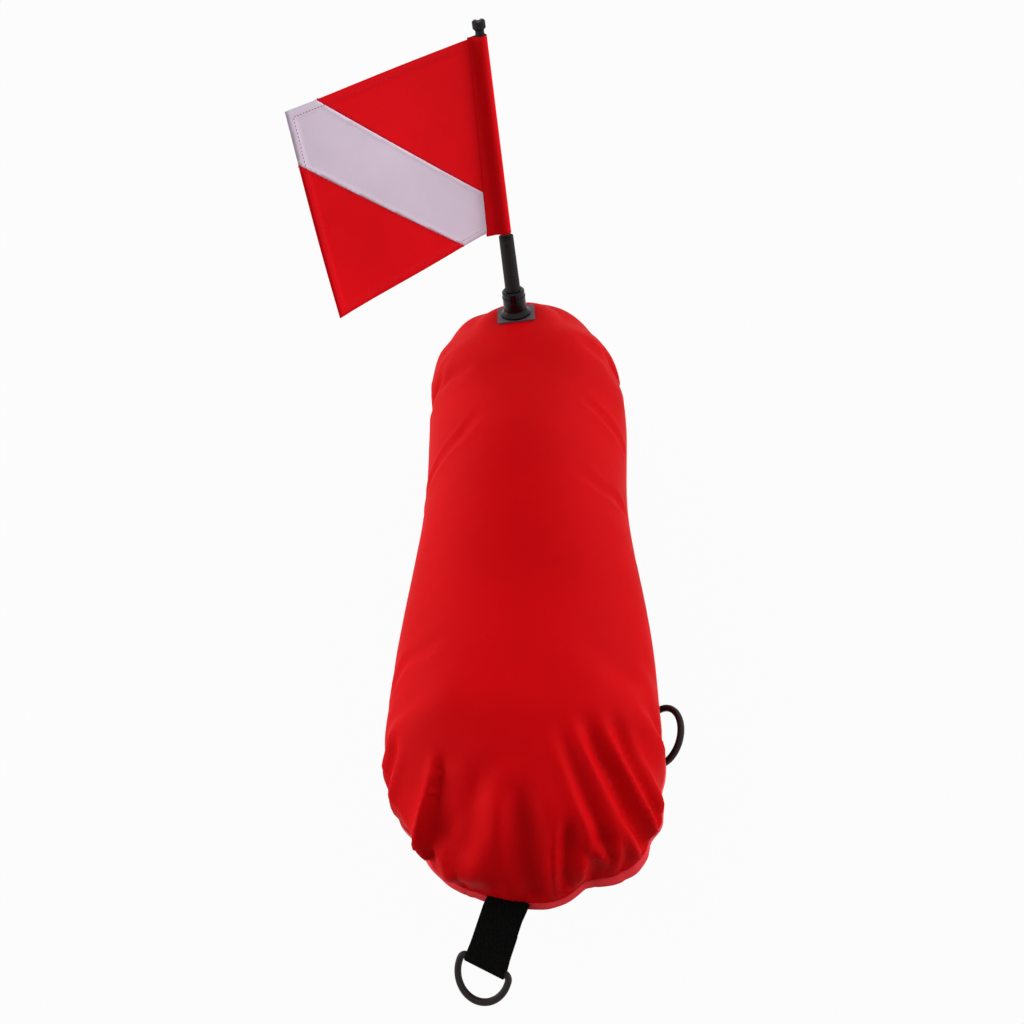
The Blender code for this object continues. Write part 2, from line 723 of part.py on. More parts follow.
def make_field(name, frame, cuts, mat):
    """One coloured field of the flag, cut from the whole sheet by straight lines."""
    bm = bmesh.new()
    length = FLAG_FLY - FLAG_TUCK
    grid = []
    for row in range(FLAG_ROWS + 1):
        up = FLAG_HOIST * row / FLAG_ROWS
        grid.append([bm.verts.new((FLAG_TUCK + length * column / FLAG_COLUMNS, 0.0, up))
                     for column in range(FLAG_COLUMNS + 1)])
    for row in range(FLAG_ROWS):
        for column in range(FLAG_COLUMNS):
            bm.faces.new((grid[row][column], grid[row][column + 1],
                          grid[row + 1][column + 1], grid[row + 1][column]))
    for first, second, keep in cuts:
        run = (second - first).normalized()
        normal = Vector((-run.z, 0.0, run.x)) * keep
        bmesh.ops.bisect_plane(bm, geom=bm.verts[:] + bm.edges[:] + bm.faces[:],
                               dist=MERGE, plane_co=first + normal * 0.5 * GAP,
                               plane_no=-normal, clear_outer=True)
    bmesh.ops.remove_doubles(bm, verts=bm.verts, dist=FLAG_MERGE)
    bmesh.ops.dissolve_degenerate(bm, dist=FLAG_MERGE, edges=bm.edges)
    bmesh.ops.triangulate(bm, faces=[face for face in bm.faces if len(face.verts) > 4])
    for vert in bm.verts:
        vert.co.y = flag_ripple(vert.co.x, vert.co.z)
        vert.co.z -= FLAG_DROOP * (vert.co.x - FLAG_TUCK) / FLAG_FLY
    mesh = bpy.data.meshes.new(name)
    bm.to_mesh(mesh)
    bm.free()
    item = add_object(name, mesh, mat)
    item.matrix_world = frame
    add_solidify(item, FLAG_THICKNESS, 0.0)


def make_flag(seat, red, white):
    frame = flag_frame(seat)
    top_out = Vector((FLAG_FLY * STRIPE_TOP_SHARE, 0.0, FLAG_HOIST))
    top_in = Vector((0.0, 0.0, FLAG_HOIST * STRIPE_UPPER_HOIST_SHARE))
    low_out = Vector((FLAG_FLY, 0.0, FLAG_HOIST * STRIPE_FLY_SHARE))
    low_in = Vector((FLAG_FLY * STRIPE_FOOT_SHARE, 0.0, 0.0))
    make_field("flag_upper_field", frame, [(top_in, top_out, 1.0)], red)
    make_field("flag_stripe", frame, [(top_in, top_out, -1.0), (low_in, low_out, 1.0)], white)
    make_field("flag_lower_field", frame, [(low_in, low_out, -1.0)], red)
    # The sleeve: one strip that goes round the mast and grips the flag between its ends
    reach = UPPER_RADIUS + SLEEVE_SLACK + 0.5 * SLEEVE_THICKNESS
    beside = 0.5 * (FLAG_THICKNESS + SLEEVE_THICKNESS) + GAP
    lean = math.acos(beside / reach) - SLEEVE_OPEN
    path = [(SLEEVE_TAB_OUT, beside), (SLEEVE_SEAM_OUT, beside)]
    for i in range(SLEEVE_STEPS + 1):
        angle = lean + (WHOLE_TURN - 2.0 * lean) * i / SLEEVE_STEPS
        path.append((reach * math.cos(angle), reach * math.sin(angle)))
    path += [(SLEEVE_SEAM_OUT, -beside), (SLEEVE_TAB_OUT, -beside)]
    bm = bmesh.new()
    low = [bm.verts.new((x, y, 0.0)) for x, y in path]
    high = [bm.verts.new((x, y, FLAG_HOIST)) for x, y in path]
    for i in range(len(path) - 1):
        bm.faces.new((low[i], low[i + 1], high[i + 1], high[i]))
    mesh = bpy.data.meshes.new("flag_sleeve")
    bm.to_mesh(mesh)
    bm.free()
    sleeve = add_object("flag_sleeve", mesh, red)
    sleeve.matrix_world = frame
    add_solidify(sleeve, SLEEVE_THICKNESS, 0.0)


def nose_frame():
    """X out along the strap, Z up, origin on the flange's top face at the weld."""
    out = Vector((math.sin(NOSE_STRAP_YAW), -math.cos(NOSE_STRAP_YAW), 0.0))
    lean = (NOSE_STRAP_X - NEAR_POLE_SHIFT) / NEAR_HALF_WIDTH
    rest = 1.0 - abs(lean) ** NEAR_CAP_POWER
    y = NEAR_CENTRE_Y - NEAR_CAP_DEPTH * rest ** (1.0 / NEAR_CAP_POWER)
    place = Vector((NOSE_STRAP_X, y, AXIS_HEIGHT + PANEL_THICKNESS + 0.5 * GAP))
    return frame_at(place, out, Vector((0.0, 0.0, 1.0)))


def hinge_frame():
    """The drooping strap: X down along it, origin on its bend."""
    flat = nose_frame()
    lift = GAP + 0.5 * WEBBING_THICKNESS
    return (flat @ Matrix.Translation((NOSE_HINGE_OUT, 0.0, lift))
            @ Matrix.Rotation(NOSE_STRAP_DROOP, 4, "Y"))


def make_nose_strap(tree, webbing, plastic):
    flat = nose_frame()
    half = 0.5 * NOSE_WEBBING_WIDTH
    lift = GAP + 0.5 * WEBBING_THICKNESS
    bm = bmesh.new()
    low = []
    high = []
    for i in range(NOSE_ROOT_STEPS + 1):
        y = -half + NOSE_WEBBING_WIDTH * i / NOSE_ROOT_STEPS
        start = flat @ Vector((NOSE_BAR_OUT, y, lift + WEBBING_THICKNESS))
        hit = tree.ray_cast(start, -flat.col[0].to_3d())[0]
        near = (flat.inverted() @ hit).x + NOSE_ROOT_ROOM
        low.append(bm.verts.new((near, y, lift)))
        high.append(bm.verts.new((NOSE_HINGE_OUT - NOSE_HINGE_GAP, y, lift)))
    for i in range(NOSE_ROOT_STEPS):
        bm.faces.new((low[i], high[i], high[i + 1], low[i + 1]))
    mesh = bpy.data.meshes.new("nose_strap_root")
    bm.to_mesh(mesh)
    bm.free()
    root = add_object("nose_strap_root", mesh, webbing)
    root.matrix_world = flat
    add_solidify(root, WEBBING_THICKNESS, 0.0)
    # The strap goes over the bar of its ring and doubles back below itself
    layer = WEBBING_THICKNESS + GAP
    bar_drop = -0.5 * layer
    reach = NOSE_STOCK_RADIUS + GAP + 0.5 * WEBBING_THICKNESS
    path = [(NOSE_HINGE_GAP, 0.0), (NOSE_BAR_OUT - NOSE_LOOP_EASE, 0.0)]
    for i in range(LOOP_STEPS + 1):
        angle = TAB_WRAP - 2.0 * TAB_WRAP * i / LOOP_STEPS
        path.append((NOSE_BAR_OUT + reach * math.cos(angle),
                     bar_drop + reach * math.sin(angle)))
    path += [(NOSE_BAR_OUT - NOSE_LOOP_EASE, -layer), (NOSE_UNDER_START, -layer)]
    strap = strip_solid("nose_strap", path, NOSE_WEBBING_WIDTH, WEBBING_THICKNESS, webbing)
    strap.matrix_world = hinge_frame()
    ring_frame = hinge_frame() @ Matrix.Translation((NOSE_BAR_OUT, 0.0, bar_drop))
    make_ring("nose_ring", NOSE_RING_HALF, NOSE_RING_LEG, NOSE_STOCK_RADIUS,
              ring_frame, plastic)


def side_frame(hand, y):
    """Z out of the float's side below the weld, X up round it."""
    crown = crown_height(y)
    width = half_width(y)
    angle = math.atan(math.tan(SIDE_DROP) * crown / width)
    out = Vector((hand * math.cos(SIDE_DROP), 0.0, -math.sin(SIDE_DROP)))
    place = Vector((hand * width * math.cos(angle), y, AXIS_HEIGHT - crown * math.sin(angle)))
    rise = Vector((hand * math.sin(SIDE_DROP), 0.0, math.cos(SIDE_DROP)))
    return frame_at(place, rise, out)


def make_side_ring(label, hand, y, swing, tree, cloth, webbing, plastic):
    frame = side_frame(hand, y)
    surface_patch(label + "_patch", frame, PATCH_RADIUS, -1, cloth)
    half = 0.5 * SIDE_WEBBING_WIDTH
    layer = 2.0 * GAP + PATCH_THICKNESS + ROOM + 0.5 * WEBBING_THICKNESS
    reach = SIDE_STOCK_RADIUS + GAP + 0.5 * WEBBING_THICKNESS
    crest = max(surface_height(tree, frame, 0.0, y_off) for y_off in (-half, 0.0, half))
    bar = crest + 2.0 * GAP + PATCH_THICKNESS + ROOM + SIDE_STOCK_RADIUS
    loop = []
    for i in range(LOOP_STEPS + 1):
        angle = QUARTER_TURN - TAB_WRAP + 2.0 * TAB_WRAP * i / LOOP_STEPS
        loop.append((reach * math.cos(angle), bar + reach * math.sin(angle)))
    start = loop[0][0] + SIDE_FOOT_EASE
    up_foot = []
    down_foot = []
    for i in range(SIDE_FOOT_STEPS + 1):
        x = start + SIDE_FOOT_LENGTH * i / SIDE_FOOT_STEPS
        for sign, run in ((1.0, up_foot), (-1.0, down_foot)):
            height = max(surface_height(tree, frame, sign * x, y_off)
                         for y_off in (-half, 0.0, half))
            run.append((sign * x, height + layer))
    path = list(reversed(up_foot)) + loop + down_foot
    tab = strip_solid(label + "_tab", path, SIDE_WEBBING_WIDTH, WEBBING_THICKNESS, webbing)
    tab.matrix_world = frame
    out = frame.col[2].to_3d()
    swung = Matrix.Rotation(-hand * swing, 3, "Y") @ out
    ring_frame = frame_at(frame @ Vector((0.0, 0.0, bar)), swung, swung.cross(ALONG))
    make_ring(label + "_ring", SIDE_RING_HALF, SIDE_RING_LEG, SIDE_STOCK_RADIUS,
              ring_frame, plastic)


def make_valve(lower_panel, cloth, plastic, rubber):
    frame = valve_frame()
    hole = VALVE_NECK_RADIUS + GAP
    reach = VALVE_INSIDE + CUT_OVERRUN
    pierce(lower_panel, "valve_panel_hole", frame, hole, -reach, reach)
    patch = surface_patch("valve_patch", frame, VALVE_PATCH_RADIUS, -1, cloth)
    pierce(patch, "valve_patch_hole", frame, hole, -reach, reach)
    floor = VALVE_FLOOR - VALVE_INSIDE
    rim = VALVE_OUTSIDE
    seal_room = MOUTHPIECE_OUTER + SEAL_WIDTH + 2.0 * GAP
    body_profile = [
        (0.0, -VALVE_INSIDE),
        (VALVE_NECK_RADIUS, -VALVE_INSIDE),
        (VALVE_NECK_RADIUS, -VALVE_FLANGE_DEPTH - VALVE_FLANGE_HEIGHT),
        (VALVE_FLANGE_RADIUS, -VALVE_FLANGE_DEPTH - VALVE_FLANGE_HEIGHT),
        (VALVE_FLANGE_RADIUS, -VALVE_FLANGE_DEPTH),
        (VALVE_NECK_RADIUS, -VALVE_FLANGE_DEPTH),
        (VALVE_NECK_RADIUS, rim),
        (VALVE_BORE_RADIUS, rim),
        (VALVE_BORE_RADIUS, SEAL_TOP),
        (seal_room, SEAL_TOP),
        (seal_room, SEAL_TOP - SEAL_HEIGHT),
        (VALVE_BORE_RADIUS, SEAL_TOP - SEAL_HEIGHT),
        (VALVE_BORE_RADIUS, floor),
        (VALVE_POST_RADIUS, floor),
        (VALVE_POST_RADIUS, rim + MOUTHPIECE_PROUD),
        (0.0, rim + MOUTHPIECE_PROUD),
    ]
    body = turned("valve_body", body_profile, plastic, FINE_STEPS)
    body.matrix_world = frame
    for i in range(VALVE_AIR_HOLES):
        spot = (Matrix.Rotation(WHOLE_TURN * i / VALVE_AIR_HOLES, 4, "Z")
                @ Matrix.Translation((VALVE_AIR_OUT, 0.0, 0.0)))
        pierce(body, "valve_air_hole_" + str(i + 1), frame @ spot, VALVE_AIR_RADIUS,
               -VALVE_INSIDE - CUT_OVERRUN, floor + VALVE_FLOOR, sides=PIN_SIDES)
    seal_low = SEAL_TOP - SEAL_HEIGHT + GAP
    seal_high = SEAL_TOP - GAP
    seal_profile = [
        (MOUTHPIECE_OUTER + GAP, seal_low),
        (MOUTHPIECE_OUTER + GAP + SEAL_WIDTH, seal_low),
        (MOUTHPIECE_OUTER + GAP + SEAL_WIDTH, seal_high),
        (MOUTHPIECE_OUTER + GAP, seal_high),
    ]
    seal = turned("valve_seal", seal_profile, rubber, FINE_STEPS)
    seal.matrix_world = frame
    top = rim + MOUTHPIECE_PROUD
    inner = MOUTHPIECE_OUTER - MOUTHPIECE_WALL
    lip = MOUTHPIECE_OUTER + MOUTHPIECE_LIP
    mouth_profile = [
        (inner, -MOUTHPIECE_INSIDE),
        (MOUTHPIECE_OUTER, -MOUTHPIECE_INSIDE),
        (MOUTHPIECE_OUTER, top - MOUTHPIECE_LIP_HEIGHT),
        (lip, top - MOUTHPIECE_LIP_HEIGHT),
        (lip, top - 0.5 * MOUTHPIECE_LIP_HEIGHT),
        (MOUTHPIECE_OUTER, top),
        (VALVE_POST_RADIUS + GAP, top),
        (VALVE_POST_RADIUS + GAP, top - MOUTHPIECE_CROWN),
        (inner, top - MOUTHPIECE_CROWN),
    ]
    mouth = turned("valve_mouthpiece", mouth_profile, plastic, FINE_STEPS)
    mouth.matrix_world = frame


clear_scene()
PARTS = make_collection(PART_NAME)
CUTTERS = make_collection("cutters")

body_cloth = make_material("body_cloth", RED_CLOTH, CLOTH_ROUGHNESS)
flag_red = make_material("flag_red", FLAG_RED, CLOTH_ROUGHNESS)
flag_white = make_material("flag_white", FLAG_WHITE, CLOTH_ROUGHNESS)
webbing_black = make_material("webbing_black", WEBBING_BLACK, WEBBING_ROUGHNESS)
mast_black = make_material("mast_black", MAST_BLACK, MAST_ROUGHNESS)
socket_black = make_material("socket_black", SOCKET_BLACK, SOCKET_ROUGHNESS)
ring_black = make_material("ring_black", RING_BLACK, RING_ROUGHNESS)
plate_grey = make_material("plate_grey", PLATE_GREY, MAST_ROUGHNESS)
seal_rubber = make_material("seal_rubber", SOCKET_BLACK, CLOTH_ROUGHNESS)

upper_tree = panel_tree(1)
both_tree = panel_tree(1, -1)
make_panel("upper_panel", 1, body_cloth)
lower = make_panel("lower_panel", -1, body_cloth)
make_valve(lower, body_cloth, socket_black, seal_rubber)

seat = seat_frame()
make_plate(seat, plate_grey)
socket_floor = make_socket(seat, socket_black)
make_collar(seat, socket_black)
make_mast(seat, socket_floor, mast_black, socket_black)
make_flag(seat, flag_red, flag_white)

make_nose_strap(upper_tree, webbing_black, ring_black)
for label, hand, y, swing in (("right_near", 1.0, NEAR_RING_Y, SPLAYED_SWING),
                              ("right_mid", 1.0, MID_RING_Y, HANGING_SWING),
                              ("left_near", -1.0, NEAR_RING_Y, HANGING_SWING),
                              ("left_mid", -1.0, MID_RING_Y, HANGING_SWING)):
    make_side_ring(label, hand, y, swing, both_tree, body_cloth, webbing_black, ring_black)
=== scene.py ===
import math

import bmesh
import bpy
import numpy as np
from math import radians
from mathutils import Matrix, Vector
from mathutils.bvhtree import BVHTree
from mathutils.geometry import delaunay_2d_cdt


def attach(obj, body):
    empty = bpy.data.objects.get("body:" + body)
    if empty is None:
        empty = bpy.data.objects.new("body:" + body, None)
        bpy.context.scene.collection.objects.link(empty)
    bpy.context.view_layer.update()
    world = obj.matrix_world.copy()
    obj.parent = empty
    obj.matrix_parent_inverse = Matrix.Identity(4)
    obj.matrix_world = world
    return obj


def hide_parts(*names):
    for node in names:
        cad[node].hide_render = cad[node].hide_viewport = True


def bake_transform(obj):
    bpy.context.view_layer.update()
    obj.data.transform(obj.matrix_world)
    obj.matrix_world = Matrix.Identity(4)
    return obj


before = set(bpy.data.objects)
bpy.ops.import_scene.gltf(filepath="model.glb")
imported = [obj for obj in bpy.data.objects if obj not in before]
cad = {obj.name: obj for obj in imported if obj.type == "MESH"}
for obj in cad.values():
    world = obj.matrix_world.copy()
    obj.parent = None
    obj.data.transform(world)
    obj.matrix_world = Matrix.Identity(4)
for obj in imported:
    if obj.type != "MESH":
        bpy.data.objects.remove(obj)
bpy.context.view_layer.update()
scene = bpy.context.scene
WHOLE = 2.0 * math.pi

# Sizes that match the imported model, in metres
AXIS_HEIGHT = 0.112
CLOTH_RADIUS = 0.1165
NEAR_CENTRE, FAR_CENTRE = -0.256, 0.254
NEAR_DEPTH, FAR_DEPTH = 0.128, 0.13
NEAR_POWER, FAR_POWER = 2.3, 2.15
NEAR_WIDTH, WAIST_WIDTH, FAR_WIDTH = 0.1295, 0.1155, 0.122
WAIST_Y, NEAR_LOBE_Y, FAR_LOBE_Y = 0.05, -0.17, 0.195
POLE_SHIFT = 0.01
SEAT = Vector((0.0, 0.283675, 0.217563))
MAST = Vector((0.0, 0.14781, 0.98902))
FLAG_LOW, FLAG_HOIST, FLAG_FLY, FLAG_DROOP = 0.106, 0.208, 0.231, 0.01
FLAG_TURN = radians(222.0)
WELD_CLEAR = 0.006
HINGE = Vector((-0.013881, -0.390445, 0.11395))
STRAP_OUT = Vector((-0.37656, -0.80753, -0.45399))
STRAP_UP = Vector((-0.19186, -0.41146, 0.89101))
VALVE = Vector((0.0, 0.342734, 0.033648))
VALVE_OUT = Vector((0.0, 0.63277, -0.77434))
SIDE_OUT = (math.cos(radians(26.0)), -math.sin(radians(26.0)))
SIDE_SEATS = {"near": (0.120909, -0.2205, 0.07552), "mid": (0.103492, 0.045, 0.059806)}
SIDE_PLACES = {hand + "_" + end: Vector((way * x, y, z)) for hand, way in (("right", 1), ("left", -1))
               for end, (x, y, z) in SIDE_SEATS.items()}
SIDE_BARS = {"near": (0.124904, 0.073571), "mid": (0.108389, 0.057418)}


# Small helpers
def add_object(name, data):
    obj = bpy.data.objects.new(name, data)
    scene.collection.objects.link(obj)
    return obj


def link(name, mesh, mats=()):
    obj = add_object(name, mesh)
    for mat in mats:
        mesh.materials.append(mat)
    mesh.shade_smooth()
    return obj


def from_bmesh(name, bm, mats=()):
    mesh = bpy.data.meshes.new(name)
    bm.to_mesh(mesh)
    bm.free()
    return link(name, mesh, mats)


def frame_matrix(place, forward, out):
    z_axis = out.normalized()
    y_axis = z_axis.cross(forward).normalized()
    x_axis = y_axis.cross(z_axis)
    matrix = Matrix((x_axis, y_axis, z_axis)).transposed().to_4x4()
    matrix.translation = place
    return matrix


def evaluated_mesh(obj):
    graph = bpy.context.evaluated_depsgraph_get()
    return bpy.data.meshes.new_from_object(obj.evaluated_get(graph))


def apply_modifiers(obj):
    made, old = evaluated_mesh(obj), obj.data
    obj.modifiers.clear()
    obj.data = made
    bpy.data.meshes.remove(old)


def bridge(bm, rows, closed=False):
    """Faces between rows of points; a closed row's last point joins its first."""
    made = []
    for a, b in zip(rows, rows[1:]):
        for i in range(len(a) if closed else len(a) - 1):
            j = (i + 1) % len(a)
            made.append(bm.faces.new((a[i], b[i], b[j], a[j])))
    return made


def thicken(obj, thickness, offset, group=""):
    solid = obj.modifiers.new("thick", "SOLIDIFY")
    solid.thickness = thickness
    solid.offset = offset
    solid.vertex_group = group


def stands_for(piece, slot, body, *nodes):
    """The body a piece rides on and the CAD nodes it replaces; the piece's finish, slot, is not used."""
    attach(piece, body)
    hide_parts(*nodes)


def read(items, key, wide, kind=float):
    """One value of each item, as an array."""
    values = np.empty(len(items) * wide, kind)
    items.foreach_get(key, values)
    return values.reshape(-1, wide)


def step(value):
    share = np.clip(value, 0.0, 1.0)
    return share * share * (3.0 - 2.0 * share)


# Materials. A wave texture of scale 1 has this many radians in a metre
WAVE_RATE = 20.0
RAMP_ENDS = (0.3, 0.7)


class Nodes:
    """A short way to lay out a material's nodes."""

    def __init__(self, name):
        self.mat = bpy.data.materials.new(name)
        self.mat.use_nodes = True
        self.tree = self.mat.node_tree
        self.shader = self.tree.nodes["Principled BSDF"]
        self.out = self.tree.nodes["Material Output"]
        self.coord = self.tree.nodes.new("ShaderNodeTexCoord")

    def add(self, kind, **values):
        node = self.tree.nodes.new(kind)
        for key, value in values.items():
            if key in node.inputs:
                node.inputs[key].default_value = value
            else:
                setattr(node, key, value)
        return node

    def join(self, a, b):
        self.tree.links.new(a, b)

    def put(self, name, value):
        self.shader.inputs[name].default_value = value

    def noise(self, scale, detail=3.0, roughness=0.5):
        node = self.add("ShaderNodeTexNoise", Scale=scale, Detail=detail, Roughness=roughness)
        self.join(self.coord.outputs["Object"], node.inputs["Vector"])
        return node.outputs["Fac"]

    def colour(self, level, colour, low, high):
        """The base colour, between two shares of its brightness."""
        node = self.add("ShaderNodeValToRGB")
        for stop, at, factor in zip(node.color_ramp.elements, RAMP_ENDS, (low, high)):
            stop.position = at
            stop.color = (*scaled(colour, factor), 1.0)
        self.join(level, node.inputs["Fac"])
        self.join(node.outputs["Color"], self.shader.inputs["Base Color"])

    def rough(self, level, low, high):
        node = self.add("ShaderNodeMapRange", **{"To Min": low, "To Max": high})
        self.join(level, node.inputs["Value"])
        self.join(node.outputs["Result"], self.shader.inputs["Roughness"])

    def bump(self, height, strength, distance, before=None):
        """Relief on top of any before it; the last one made is what the shader uses."""
        node = self.add("ShaderNodeBump", Strength=strength, Distance=distance)
        self.join(height, node.inputs["Height"])
        if before is not None:
            self.join(before.outputs["Normal"], node.inputs["Normal"])
        self.join(node.outputs["Normal"], self.shader.inputs["Normal"])
        return node

    def weave(self, pitch, strength, distance, before=None):
        """Two crossed sets of threads, as waves along two directions."""
        mix = self.add("ShaderNodeMath", operation="MAXIMUM")
        for slot, direction in zip(mix.inputs, ("X", "Y")):
            wave = self.add("ShaderNodeTexWave", wave_type="BANDS", bands_direction=direction,
                            Scale=1.0 / pitch / WAVE_RATE * math.pi, Distortion=0.6, Detail=1.0)
            wave.inputs["Detail Scale"].default_value = 1.5
            self.join(self.coord.outputs["Object"], wave.inputs["Vector"])
            self.join(wave.outputs["Fac"], slot)
        return self.bump(mix.outputs["Value"], strength, distance, before)


def scaled(colour, factor):
    return tuple(min(channel * factor, 1.0) for channel in colour)


def cloth_material(name, colour, roughness, level):
    n = Nodes(name)
    n.colour(n.noise(scale=9.0, detail=4.0, roughness=0.55), colour, low=0.93, high=1.05)
    n.rough(n.noise(scale=900.0, detail=2.0, roughness=0.6), roughness - 0.05, roughness + 0.07)
    uneven = n.bump(n.noise(scale=55.0), strength=0.1, distance=0.002)
    n.weave(pitch=0.0009, strength=0.12, distance=0.00012, before=uneven)
    n.put("Specular IOR Level", level)
    return n.mat


def webbing_material(name, colour):
    n = Nodes(name)
    n.colour(n.noise(scale=420.0, detail=2.0), colour, low=0.6, high=1.7)
    n.weave(pitch=0.0018, strength=0.5, distance=0.0005)
    n.put("Roughness", 0.9)
    n.put("Specular IOR Level", 0.05)
    return n.mat


def plastic_material(name, colour, roughness, level):
    n = Nodes(name)
    n.colour(n.noise(scale=60.0, detail=4.0, roughness=0.6), colour, low=0.85, high=1.2)
    n.rough(n.noise(scale=180.0, roughness=0.6), roughness - 0.08, roughness + 0.1)
    n.bump(n.noise(scale=1500.0, detail=2.0), strength=0.04, distance=0.0003)
    n.put("Specular IOR Level", level)
    return n.mat


BODY_RED = (0.62, 0.0018, 0.0042)
body_cloth = cloth_material("coated_nylon_red", BODY_RED, 0.58, 0.025)
# painted light: the weld flange's red is the body's cloth made lighter and pinker, for the light the flange
# catches from the floor below
lit_weld_cloth = cloth_material("welded_nylon_red_painted_light", (0.87, 0.04, 0.052), 0.5, 0.1)
patch_cloth = cloth_material("coated_patch_red", scaled(BODY_RED, 0.9), 0.5, 0.1)
flag_red = cloth_material("flag_nylon_red", (0.85, 0.0052, 0.0105), 0.7, 0.03)
flag_white = cloth_material("flag_nylon_white", (0.79, 0.69, 0.83), 0.7, 0.03)
webbing = webbing_material("webbing_black", (0.0022, 0.002, 0.0018))
thread = plastic_material("stitch_thread", (0.36, 0.03, 0.07), 0.7, 0.1)
mast_black = plastic_material("mast_matt_black", (0.0085, 0.007, 0.0075), 0.6, 0.2)
socket_black = plastic_material("socket_gloss_black", (0.0022, 0.0014, 0.0014), 0.2, 0.22)
ring_black = plastic_material("ring_satin_black", (0.013, 0.007, 0.0065), 0.45, 0.2)
plate_grey = plastic_material("plate_grey", (0.105, 0.07, 0.085), 0.5, 0.2)
rubber = plastic_material("seal_rubber", (0.012, 0.012, 0.012), 0.6, 0.3)


# The blown-up body: two flat panels welded at the rim and inflated as cloth
PANEL_HALF_WIDTH = 0.183
PANEL_HALF_RUN = 0.25
CLOTH_STEP = 0.0095
CLEAR_SHARE = 0.6
START_RISE, START_EASE = 0.004, 0.03
SIM_SPINE = 0.235
TINY = 1e-5
CLOTH_FRAMES = 56
CLOTH = {"quality": 10, "mass": 0.15, "air_damping": 2.0, "tension_stiffness": 300,
         "compression_stiffness": 2, "shear_stiffness": 2, "bending_stiffness": 0.05,
         "tension_damping": 10, "compression_damping": 10, "shear_damping": 10,
         "bending_damping": 0.5, "use_pressure": True, "uniform_pressure_force": 60}


def flat_panels():
    """The welded pair as one closed mesh: rim points shared, top and bottom apart."""
    a, s, h = PANEL_HALF_WIDTH, PANEL_HALF_RUN, CLOTH_STEP
    arc = int(math.pi * a / h / 2) * 2
    run = int(2 * s / h / 2) * 2
    rim = []
    for start, way in ((0.0, 1), (math.pi, -1)):
        turns = [start + math.pi * i / arc for i in range(arc)]
        rim += [(a * math.cos(t), way * s + a * math.sin(t)) for t in turns]
        rim += [(-way * a, way * s - way * 2 * s * i / run) for i in range(run)]

    def depth(x, y):
        past = max(abs(y) - s, 0.0)
        return a - (math.hypot(x, past) if past > 0.0 else abs(x))

    points = list(rim)
    row_step = h * math.sqrt(3) / 2
    rows = int((s + a) / row_step) + 1
    for j in range(-rows, rows + 1):
        for i in range(-int(a / h) - 1, int(a / h) + 2):
            x, y = i * h + (0.5 * h if j % 2 else 0.0), j * row_step
            if depth(x, y) > h * CLEAR_SHARE:
                points.append((x, y))
    count = len(rim)
    edges = [(i, (i + 1) % count) for i in range(count)]
    verts, _, tris, *_ = delaunay_2d_cdt([Vector(p) for p in points], edges, [], 1, 1e-6)
    places, faces, top_flags = [], [], []
    top_index, low_index = [], []
    for v in verts:
        d = depth(v.x, v.y)
        rise = START_RISE * min(d / START_EASE, 1.0)
        top_index.append(len(places))
        places.append((v.x, v.y, rise))
        if d < TINY:
            low_index.append(top_index[-1])
        else:
            low_index.append(len(places))
            places.append((v.x, v.y, -rise))
    for tri in tris:
        p, q, r = (verts[i] for i in tri)
        order = list(tri) if (q - p).cross(r - p) > 0 else list(reversed(tri))
        faces.append([top_index[i] for i in order])
        top_flags.append(True)
        low = [low_index[i] for i in reversed(order)]
        if sorted(low) != sorted(faces[-1]):
            faces.append(low)
            top_flags.append(False)
    return places, faces, top_flags


def inflate(obj):
    cloth = obj.modifiers.new("Cloth", "CLOTH")
    for key, value in CLOTH.items():
        setattr(cloth.settings, key, value)
    cloth.settings.effector_weights.gravity = 0
    cloth.collision_settings.use_collision = False
    for span in (scene, cloth.point_cache):
        span.frame_start, span.frame_end = 1, CLOTH_FRAMES
    for f in range(1, CLOTH_FRAMES + 1):
        scene.frame_set(f)
    apply_modifiers(obj)
    scene.frame_set(1)


def half_width(y):
    near = step((WAIST_Y - y) / (WAIST_Y - NEAR_LOBE_Y))
    far = step((y - WAIST_Y) / (FAR_LOBE_Y - WAIST_Y))
    return WAIST_WIDTH + (NEAR_WIDTH - WAIST_WIDTH) * near + (FAR_WIDTH - WAIST_WIDTH) * far


def crown_height(y):
    return np.sqrt(2.0 * CLOTH_RADIUS ** 2 - half_width(y) ** 2)


def profile_of(keys, values, grid, reach):
    """Values against keys, on an even grid, smoothed."""
    order = np.argsort(keys)
    line = np.interp(grid, keys[order], values[order])
    kernel = np.hanning(2 * reach + 3)[1:-1]
    kernel /= kernel.sum()
    padded = np.pad(line, reach, mode="edge")
    return np.convolve(padded, kernel, mode="valid")


RUN_POINTS, RUN_SMOOTH = 95, 8
TURN_POINTS, TURN_SMOOTH = 73, 6
MIDDLE_PAST, CORE_WIDTH, END_BLEND = 0.02, 0.012, 0.05


